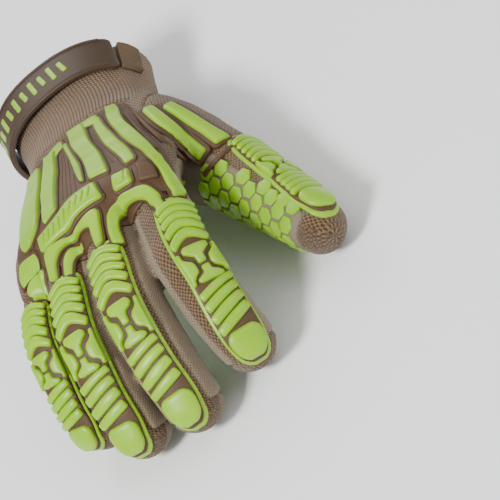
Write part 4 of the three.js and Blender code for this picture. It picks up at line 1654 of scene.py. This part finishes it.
BASE_RELIEF = Relief(rise=0.8, round_off=0.7, foot=1.0, corner=6.0)
LINE_RELIEF = Relief(0.3, 0.3, -0.5, 0.3, 0.75)
RIDGE_RELIEF = Relief(1.8, 0.9, 1.0, 0.8)
CREST_RELIEF = Relief(0.9, 0.4, -2.4, 0.6, 2.8)
SQUARE_RELIEF = Relief(0.7, 0.4, -2.4, 0.8, 2.9)
NOTCH_RELIEF = Relief(2.6, 0.8, 1.0, 1.0)
KNUCKLE_CREST: Stops = [[-15, 87.4, 1], [-4, 87.2, 1], [8.5, 89.8, 1], [19, 91.6, 1]]
SQUARE_TOP: Stops = [[-25.5, 89.3, 3.2], [-29.8, 90.3, 3.2]]
NOTCH_BLOCK: Stops = [[-34, 86.5, -36, 95.5], [-40.5, 89.5, -45, 97.5]]


def widened(stops: Stops, spare: float) -> Stops:
    """Gives a route spare width on both sides, and runs it on as much past both its ends.

    Args:
        stops: the route.
        spare: the spare width in millimetres.

    Returns:
        Both edges of the wider route at each stop.
    """
    line = with_sides(stops)[::6]
    middle, way = line[:, :2], line[:, 3:]
    for end, inner in ((0, 1), (-1, -2)):
        ahead = middle[end] - middle[inner]
        middle[end] = middle[end] + ahead / np.linalg.norm(ahead) * spare
    half = line[:, 2:3] / 2 + spare
    return np.hstack([middle - way * half, middle + way * half]).tolist()


@dataclass
class BackArmour:
    """The moulded bars over the back of the hand and the saddle, on their brown base.

    border is how far the base shows round a bar, saddle_spare how much more on the saddle, and
    crest_ribs the count of ribs on the knuckle bar.
    """

    chart: Chart
    plan: PlanChart
    looks: "Looks"
    border: float = 1.1
    saddle_spare: float = 0.6
    crest_ribs: int = 9
    line_width: float = 0.8

    def window_lines(self) -> list[bpy.types.Object]:
        """Fine lines down the textile windows between the bars.

        Returns:
            The open top of each line.
        """
        lines = []
        for stops in WINDOW_LINES:
            rows = np.array(stops, float)
            for share in (0.2, 0.4, 0.6, 0.8):
                run = rows[:, :2] * (1 - share) + rows[:, 2:] * share
                lines.append(bar(self.chart, [[*place, self.line_width] for place in run], LINE_RELIEF))
        return lines

    def crest(self) -> list[bpy.types.Object]:
        """Plain slanted ribs along the crest of the knuckle bar.

        Returns:
            The open top of each rib.
        """
        line, _ = smooth_route([np.array(stop, float) for stop in KNUCKLE_CREST], 20)
        ribs = []
        for k in range(self.crest_ribs):
            at = line[int((k + 1) * len(line) / (self.crest_ribs + 1))]
            ends = [[at[0] - 1.0, at[1] - 1.7, 1.4], [at[0] + 1.0, at[1] + 1.7, 1.4]]
            ribs.append(bar(self.chart, ends, CREST_RELIEF))
        return ribs

    def plate(self, name: str, routes: list[Stops]) -> bpy.types.Object:
        """Makes one plate of the back.

        Args:
            name: the frame's node that it stands for.
            routes: its bars, the first one the highest.

        Returns:
            The plate.
        """
        reliefs = [LOW_RELIEF if k else BAR_RELIEF for k in range(len(routes))]
        tops = [bar(self.chart, stops, relief) for stops, relief in zip(routes, reliefs)]
        if name == "knuckle_bar":
            tops += self.crest()
        if name == "square_pad":
            tops.append(bar(self.chart, SQUARE_TOP, SQUARE_RELIEF))
        return keep(moulding(name + "_moulding", tops), Slot.LIME, self.looks.lime, [name])

    def build(self) -> None:
        """Makes every plate and saddle bar, then the base under them all."""
        bases = [bar(self.chart, BACK_BASE, BASE_RELIEF), *self.window_lines()]
        for name, routes in BACK_PLATES.items():
            bases += [bar(self.chart, widened(stops, self.border), BORDER_RELIEF) for stops in routes]
            self.plate(name, routes)
        for name, stops in SADDLE_BARS.items():
            top = bar(self.plan, stops, BAR_RELIEF)
            keep(moulding(name + "_moulding", [top]), Slot.LIME, self.looks.lime, [name])
            wider = widened(stops, self.border + self.saddle_spare)
            bases.append(bar(self.plan, wider, BORDER_RELIEF))
        bases += [bar(self.plan, stops, RIDGE_RELIEF) for stops in SADDLE_RIDGES]
        bases.append(bar(self.chart, NOTCH_BLOCK, NOTCH_RELIEF))
        keep(moulding("armour_base", bases), Slot.STRAP, self.looks.moulded)


@dataclass(frozen=True)
class GuardPlan:
    """Where a guard runs: its first and last station, its width, and how far its middle is set
    aside at its base, at its half and at its tip."""

    start: float
    end: float
    width: float
    base_aside: float
    mid_aside: float
    tip_aside: float

    def spot(self, across: float, share: float) -> tuple[float, float]:
        """Finds a place of the guard.

        Args:
            across: its share of the width from the middle.
            share: its share of the length.

        Returns:
            Its across and along on the finger.
        """
        aside = np.interp(share, [0, 0.5, 1], [self.base_aside, self.mid_aside, self.tip_aside])
        return float(aside) + across * self.width, self.start + share * (self.end - self.start)

    def route(self, rows: Sequence[Sequence[float]]) -> Stops:
        """Turns rows of shares into a route.

        Args:
            rows: shares of the width, the length and the width, or both edges' shares.

        Returns:
            The route's stops in millimetres.
        """
        if len(rows[0]) == 3:
            return [[*self.spot(a, s), w * self.width] for a, s, w in rows]
        return [[*self.spot(a, s), *self.spot(b, r)] for a, s, b, r in rows]


RIB_RELIEF = Relief(rise=1.7, round_off=1.0, foot=-0.6, corner=1.0, base=1.7)
RIB_SHARES = (0.075, 0.13, 0.185, 0.24, 0.295)
SLANT_SHARES = (0.575, 0.63, 0.685, 0.74)
BEAM = (
    ((0, 0.335, 0.42), (0, 0.352, 0.56), (0, 0.37, 0.48), (0, 0.388, 0.2), (0, 0.432, 0.17)),
    ((0, 0.442, 0.17), (0, 0.486, 0.2), (0, 0.504, 0.48), (0, 0.522, 0.56), (0, 0.54, 0.42)),
)
# Inner edge and outer edge of a side pad, as shares of the width and the length.
SIDE_PAD = (
    (0.32, 0.35, 0.42, 0.345), (0.31, 0.38, 0.42, 0.38), (0.17, 0.405, 0.42, 0.405),
    (0.15, 0.437, 0.42, 0.437), (0.17, 0.469, 0.42, 0.469), (0.31, 0.495, 0.42, 0.495),
    (0.32, 0.525, 0.42, 0.53),
)
TIP_PAD = ((0, 0.79, 0.72), (0, 0.87, 0.7), (0, 0.955, 0.5))
FLANGE = ((0, 0, 0.86), (0, 0.15, 1), (0, 0.5, 1), (0, 0.85, 0.96), (0, 1, 0.62))
LAYER = ((0, 0.025, 0.7), (0, 0.15, 0.84), (0, 0.5, 0.84), (0, 0.85, 0.8), (0, 0.975, 0.5))


@dataclass
class Guard:
    """A finger's guard: a thin flange, a brown layer on it, and lime ribs and pads on top.

    reach is how far its ribs go to each side, as a share of its width, and lean and slant how far
    the ribs of its base and its middle are drawn back at their ends, as shares of its length.
    """

    name: str
    chart: Chart
    plan: GuardPlan
    looks: "Looks"
    reach: float = 0.4
    lean: float = 0.025
    peak: float = 0.018
    slant: float = 0.02

    def ribs(self) -> list[bpy.types.Object]:
        """The pointed ribs at the base, and the straighter ones past the joint.

        Returns:
            The open top of each rib.
        """
        routes = []
        for share in RIB_SHARES:
            foot = share + self.lean
            top = (0, share - self.peak, 0.2)
            routes.append(((-self.reach, foot, 0.15), top, (self.reach, foot, 0.15)))
        for share in SLANT_SHARES:
            low, high = share - self.slant, share + self.slant
            routes.append(((-0.39, low, 0.18), (0, share, 0.2), (0.39, high, 0.18)))
        return [bar(self.chart, self.plan.route(rows), RIB_RELIEF) for rows in routes]

    def joint(self) -> list[bpy.types.Object]:
        """The two halves of the beam over the joint, and a pad on each side of it.

        Returns:
            The open top of each.
        """
        tops = [bar(self.chart, self.plan.route(half), RIB_RELIEF) for half in BEAM]
        for side in (-1, 1):
            rows = [(side * a, s, side * b, r) for a, s, b, r in SIDE_PAD]
            tops.append(bar(self.chart, self.plan.route(rows), RIB_RELIEF))
        return tops

    def build(self) -> None:
        """Makes the guard and the layer in it."""
        width = self.plan.width
        flange = bar(self.chart, self.plan.route(FLANGE), Relief(1.0, 0.6, 0.9, 0.28 * width))
        layer = bar(self.chart, self.plan.route(LAYER), Relief(0.9, 0.5, -0.4, 0.2 * width, 0.9))
        tip = bar(self.chart, self.plan.route(TIP_PAD), Relief(1.9, 1.6, -0.6, 0.2 * width, 1.7))
        tops = [flange, *self.ribs(), *self.joint(), tip]
        keep(moulding(self.name + "_ribs", tops), Slot.LIME, self.looks.lime, [self.name])
        keep(moulding(self.name + "_layer", [layer]), Slot.STRAP, self.looks.moulded)


# Strap

STRAP_ANGLES = (-24.0, 150.0)
TAB_ANGLE = 176.0
LIP_RELIEF = Relief(0.7, 0.5, -1.5, 0.6, 1.9)
MARK_RELIEF = Relief(0.5, 0.35, -1.5, 0.8, 1.9)
TAB_RELIEF = Relief(1.9, 0.5, 0.0, 1.2)


def strap_lift(share: float) -> float:
    """How far the strap stands off the knit, along its turn."""
    return 0.3 + 2.6 * max(0.0, math.sin(math.pi * share)) ** 0.7


@dataclass
class Strap:
    """The moulded strap over the scooped cuff, its raised edges and marks, and its webbing tab.

    taper is the share of its width that it loses along its turn, lip how wide a raised edge is and
    inset how far its middle is from the strap's edge. Marks are high and low by turns.
    """

    form: GloveForm
    looks: "Looks"
    width: float = STRAP_WIDTH
    thickness: float = 2.0
    taper: float = 0.2
    far: float = -0.97 * CUFF_LENGTH
    lip: float = 1.5
    inset: float = 1.6
    marks: int = 11
    first_mark: float = 0.2
    mark_step: float = 0.055
    mark_heights: tuple[float, float] = (4.2, 5.6)
    tab_width: float = 17.0

    def __post_init__(self) -> None:
        """Lays the surface that the strap lies on."""
        chart = Chart(self.form.hand, STRAP_ANGLES, (-CUFF_LENGTH, 0), 90)
        self.chart = chart.raised(strap_lift)
        self.middle = self.far + self.width / 2
        self.ends = [self.chart.across_at(angle, self.middle) for angle in STRAP_ANGLES]

    def run(self, share: float, aside: float, wide: float) -> list[float]:
        """A stop of a route along the strap.

        Args:
            share: the share of the strap's turn.
            aside: millimetres from its middle line.
            wide: the route's width.

        Returns:
            Across, along and width.
        """
        across = self.ends[0] + (self.ends[1] - self.ends[0]) * share
        return [across, self.middle - 0.5 * share + aside * (1 - self.taper * share), wide]

    def body(self) -> None:
        """Makes the strap with its two raised edges."""
        shares = (0.004, 0.25, 0.5, 0.75, 0.996)
        stops = [self.run(u, 0, self.width * (1 - self.taper * u)) for u in shares]
        tops = [bar(self.chart, stops, Relief(self.thickness, 0.7, 0.0, 3.0))]
        edge = self.width / 2 - self.inset
        for side in (-1, 1):
            stops = [self.run(u, side * edge, self.lip) for u in (0.04, 0.3, 0.6, 0.95)]
            tops.append(bar(self.chart, stops, LIP_RELIEF))
        keep(moulding("wrist_strap_body", tops), Slot.STRAP, self.looks.strap, ["wrist_strap"])

    def plain_marks(self) -> None:
        """Makes the plain bars that stand on the strap."""
        tops = []
        for k in range(self.marks):
            share = self.first_mark + self.mark_step * k
            high = self.mark_heights[k % 2]
            ends = [self.run(share, -high, 2.6), self.run(share + 0.02, high, 2.6)]
            tops.append(bar(self.chart, ends, MARK_RELIEF))
        keep(moulding("strap_marks", tops), Slot.LIME, self.looks.lime)

    def tab(self) -> None:
        """Makes the webbing tab at the strap's end."""
        chart = Chart(self.form.hand, (140.0, 184.0), (-CUFF_LENGTH, 0), 150, step=2.0)
        chart = chart.raised(lambda u: 0.3)
        end = chart.across_at(TAB_ANGLE, self.middle)
        along = self.far + 3 + (self.width - 7) / 2
        wide = self.tab_width
        stops = [[-1.2, along, wide], [end / 2, along, wide], [end, along, wide - 1]]
        webbing = moulding("strap_tab_webbing", [bar(chart, stops, TAB_RELIEF)])
        keep(webbing, Slot.TAB, self.looks.tab, ["strap_tab"])

    def build(self) -> None:
        """Makes the strap, its marks and its tab."""
        self.body()
        self.plain_marks()
        self.tab()


# Grips


@dataclass
class Grips:
    """Hexagon grips in staggered rows over the palm, the finger fronts and the thumb.

    rise is their height, sunk how deep they are rooted and fill their share of the pitch. A row is
    row_share of the pitch from the next.
    """

    form: GloveForm
    tree: BVHTree
    looks: "Looks"
    rise: float = 0.7
    sunk: float = 0.8
    fill: float = 0.98
    row_share: float = 0.87
    palm_pitch: float = 7.8
    finger_pitch: float = 6.6
    thumb_pitch: float = 7.9

    def template(self, size: float) -> bpy.types.Object:
        """Makes the rounded hexagon that is copied.

        Args:
            size: its size across the corners.

        Returns:
            The hexagon, standing at the origin.
        """
        deselect()
        bpy.ops.mesh.primitive_cylinder_add(
            vertices=6, radius=size / 2 * MM, depth=(self.rise + self.sunk) * MM,
            location=(0, 0, (self.rise - self.sunk) / 2 * MM))
        piece = bpy.context.object
        bpy.ops.object.transform_apply(location=True, rotation=False, scale=False)
        piece.name = "grip"
        finish_with(piece, "BEVEL", width=0.35 * MM, segments=2, limit_method="ANGLE")
        return piece

    def place(
        self, template: bpy.types.Object, chart: Chart, across: float, along: float,
    ) -> bpy.types.Object:
        """Sets a copy of the hexagon on the leather.

        Args:
            template: the hexagon.
            chart: the leather's surface.
            across: the place round it.
            along: the place along it.

        Returns:
            The copy.
        """
        spot, out = chart.at(across, along), chart.at(across, along, 1.0)
        ahead = chart.at(across, along + 0.5) - chart.at(across, along - 0.5)
        z = Vector(out - spot).normalized()
        x = Vector(ahead).cross(z).normalized()
        turn = Matrix((x, z.cross(x), z)).transposed().to_4x4()
        copy = template.copy()
        copy.data = template.data.copy()
        copy.data.transform(Matrix.Translation(Vector(spot) * MM) @ turn)
        bpy.context.scene.collection.objects.link(copy)
        return copy

    def fill_field(
        self, name: str, chart: Chart, inside: Callable[[float, float], bool],
        reach: tuple[float, float], pitch: float,
    ) -> None:
        """Makes one field of grips.

        Args:
            name: the field's name.
            chart: the leather's surface.
            inside: tells whether a place, across and along, has a grip.
            reach: the least and the greatest across to try.
            pitch: the distance between grips.
        """
        template = self.template(self.fill * pitch)
        copies = []
        low, high = chart.stations[0], chart.stations[-1]
        rows = int((high - low) / (self.row_share * pitch))
        for j in range(rows + 1):
            along = low + self.row_share * pitch * j
            for i in range(int(reach[0] / pitch), int(reach[1] / pitch) + 1):
                across = pitch * (i + 0.5 * (j % 2))
                if inside(across, along):
                    copies.append(self.place(template, chart, across, along))
        bpy.data.objects.remove(template)
        piece = fuse(name, copies)
        shade(piece, 30)
        keep(piece, Slot.LIME, self.looks.grip)

    def build(self) -> None:
        """Makes the fields of the palm, the fingers and the thumb."""
        palm = Chart(self.form.hand, (180.0, 360.0), (8.0, HAND_END - 4), 270).settle(self.tree)
        self.fill_field("palm_grips", palm, lambda a, s: abs(a) < 36 and (s > 30 or a < 8), (-40, 40),
                        self.palm_pitch)
        for tube, row in zip(self.form.fingers, FINGER_ROWS):
            half = 0.36 * FINGER_WIDTH * row.girth
            front = Chart(tube.point, (200.0, 340.0), (FINGER_ROOM + 6, tube.length - 12), 270)
            self.fill_field(f"{tube.name}_grips", front.settle(self.tree),
                            lambda a, s, r=half: abs(a) < r, (-14, 14), self.finger_pitch)
        tube = self.form.thumb
        thumb = Chart(tube.point, (170.0, 384.0), (48.0, tube.length - 12), 270).settle(self.tree)
        self.fill_field("thumb_grips", thumb, lambda a, s: -31 < a < 15 and s > 55 - 0.15 * a,
                        (-40, 16), self.thumb_pitch)


# Scene

# The camera's angles in degrees, its target and distance in millimetres, and its focal length,
# its frame and the target's place in pixels of the photograph's frame
CAMERA_AZIMUTH, CAMERA_HEIGHT, CAMERA_ROLL = 206.98, 33.17, -54.53
CAMERA_TARGET = (0.0, 60.0, 30.0)
CAMERA_AWAY = 1020.0
PIXELS = 2394.7
FRAME_PIXELS = 500
TARGET_PIXEL = (115.2, 218.06)


def set_camera() -> None:
    """Looks at the glove as the photograph does."""
    az, el, roll = (a * DEGREE for a in (CAMERA_AZIMUTH, CAMERA_HEIGHT, CAMERA_ROLL))
    back = Vector((math.sin(az) * math.cos(el), -math.cos(az) * math.cos(el), math.sin(el)))
    right = Vector((0, 0, 1)).cross(back).normalized()
    up = back.cross(right)
    c, s = math.cos(roll), math.sin(roll)
    right, up = right * c + up * s, up * c - right * s
    centre = FRAME_PIXELS / 2
    off_x, off_y = ((centre - pixel) / PIXELS for pixel in TARGET_PIXEL)
    aim = -back + right * off_x - up * off_y
    away = -aim.normalized()
    across = up.cross(away).normalized()
    upright = away.cross(across)
    data = bpy.data.cameras.new("camera")
    data.sensor_width = 36.0
    data.lens = PIXELS / FRAME_PIXELS * data.sensor_width
    data.clip_start, data.clip_end = 0.05, 20.0
    camera = bpy.data.objects.new("camera", data)
    place = (Vector(CAMERA_TARGET) + back * CAMERA_AWAY) * MM
    turn = Matrix((across, upright, away)).transposed().to_4x4()
    camera.matrix_world = Matrix.Translation(place) @ turn
    bpy.context.scene.collection.objects.link(camera)
    bpy.context.scene.camera = camera


@dataclass(frozen=True)
class Lamp:
    """A soft square lamp: its name, its place and size in metres, and its watts."""

    name: str
    place: tuple[float, float, float]
    size: float
    watts: float


LAMPS = (
    Lamp("key", (0.5, 0.9, 1.2), 0.4, 30),
    Lamp("fill", (-1.2, 0.2, 0.9), 1.2, 9),
    Lamp("rim", (0.3, -1.2, 0.9), 0.8, 9),
)
LAMP_AIM = (0.0, 0.06, 0.02)


@dataclass
class Stage:
    """A plain pale floor, soft lamps and a pale sky."""

    height: float
    floor_size: float = 12.0
    paint: tuple[float, float, float, float] = (0.9, 0.9, 0.9, 1.0)
    sky: float = 0.55

    def floor(self) -> None:
        """Lays the floor under the glove."""
        deselect()
        bpy.ops.mesh.primitive_plane_add(size=self.floor_size, location=(0, 0, self.height))
        floor = bpy.context.object
        floor.name = "floor"
        paper = bpy.data.materials.new("floor_paper")
        paper.use_nodes = True
        shader = paper.node_tree.nodes["Principled BSDF"]
        shader.inputs["Base Color"].default_value = self.paint
        shader.inputs["Roughness"].default_value = 0.9
        floor.data.materials.append(paper)
        floor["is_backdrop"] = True

    def light(self) -> None:
        """Sets the sky and the lamps."""
        world = bpy.data.worlds.new("sky")
        world.use_nodes = True
        background = world.node_tree.nodes["Background"]
        background.inputs["Color"].default_value = (1, 1, 1, 1)
        background.inputs["Strength"].default_value = self.sky
        bpy.context.scene.world = world
        for row in LAMPS:
            lamp = bpy.data.lights.new(row.name, "AREA")
            lamp.size, lamp.energy = row.size, row.watts
            light = bpy.data.objects.new(row.name, lamp)
            light.location = row.place
            aim = Vector(LAMP_AIM) - Vector(row.place)
            light.rotation_euler = aim.to_track_quat("-Z", "Y").to_euler()
            bpy.context.scene.collection.objects.link(light)

    def build(self) -> None:
        """Lays the floor and lights it."""
        self.floor()
        self.light()


# Middle of each finger guard at its base, its half and its tip, from the finger's ridge
GUARD_ASIDES = {"index": (-6.5, -5.5, 0), "middle": (0, 0, 0), "ring": (-2, -2, 0), "little": (-4, -3, 0)}
FINGER_GUARD_WIDTH = 18.5
THUMB_GUARD_WIDTH = 18.0
THUMB_GUARD_START = 0.44
GUARD_END = 3.0


def all_guards(form: GloveForm, tree: BVHTree, looks: Looks) -> None:
    """Makes the guards of the fingers and the thumb.

    Args:
        form: the glove's form.
        tree: the cloth that they lie on.
        looks: the materials.
    """
    for tube, row in zip(form.fingers, FINGER_ROWS):
        chart = Chart(tube.point, (-30.0, 210.0), (FINGER_ROOM - 4, tube.length - 0.3), 90).settle(tree)
        plan = GuardPlan(FINGER_ROOM + 2.5, tube.length - GUARD_END, row.girth * FINGER_GUARD_WIDTH,
                         *GUARD_ASIDES[tube.name])
        Guard(tube.name + "_guard", chart, plan, looks).build()
    tube = form.thumb
    chart = Chart(tube.point, (-60.0, 216.0), (20.0, tube.length - 0.3), THUMB_GUARD_MIDDLE).settle(tree)
    start, end = THUMB_GUARD_START * tube.length, tube.length - GUARD_END
    plan = GuardPlan(start, end, THUMB_GUARD_WIDTH, -1, 0, 2)
    Guard("thumb_guard", chart, plan, looks).build()


def main() -> None:
    """Dresses the frame, sets the scene and logs the face counts."""
    logging.basicConfig(level=logging.INFO)
    looks = Looks()
    form = GloveForm()
    tree = Cloth(form).build(looks)
    back = Chart(form.hand, (-20.0, 200.0), (0.0, HAND_END + 13), 90).settle(tree)
    BackArmour(back, PlanChart(tree), looks).build()
    all_guards(form, tree, looks)
    Strap(form, looks).build()
    Grips(form, tree, looks).build()
    Stage(min(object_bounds()[0].z, 0.0)).build()
    set_camera()


if __name__ == "__main__":
    main()
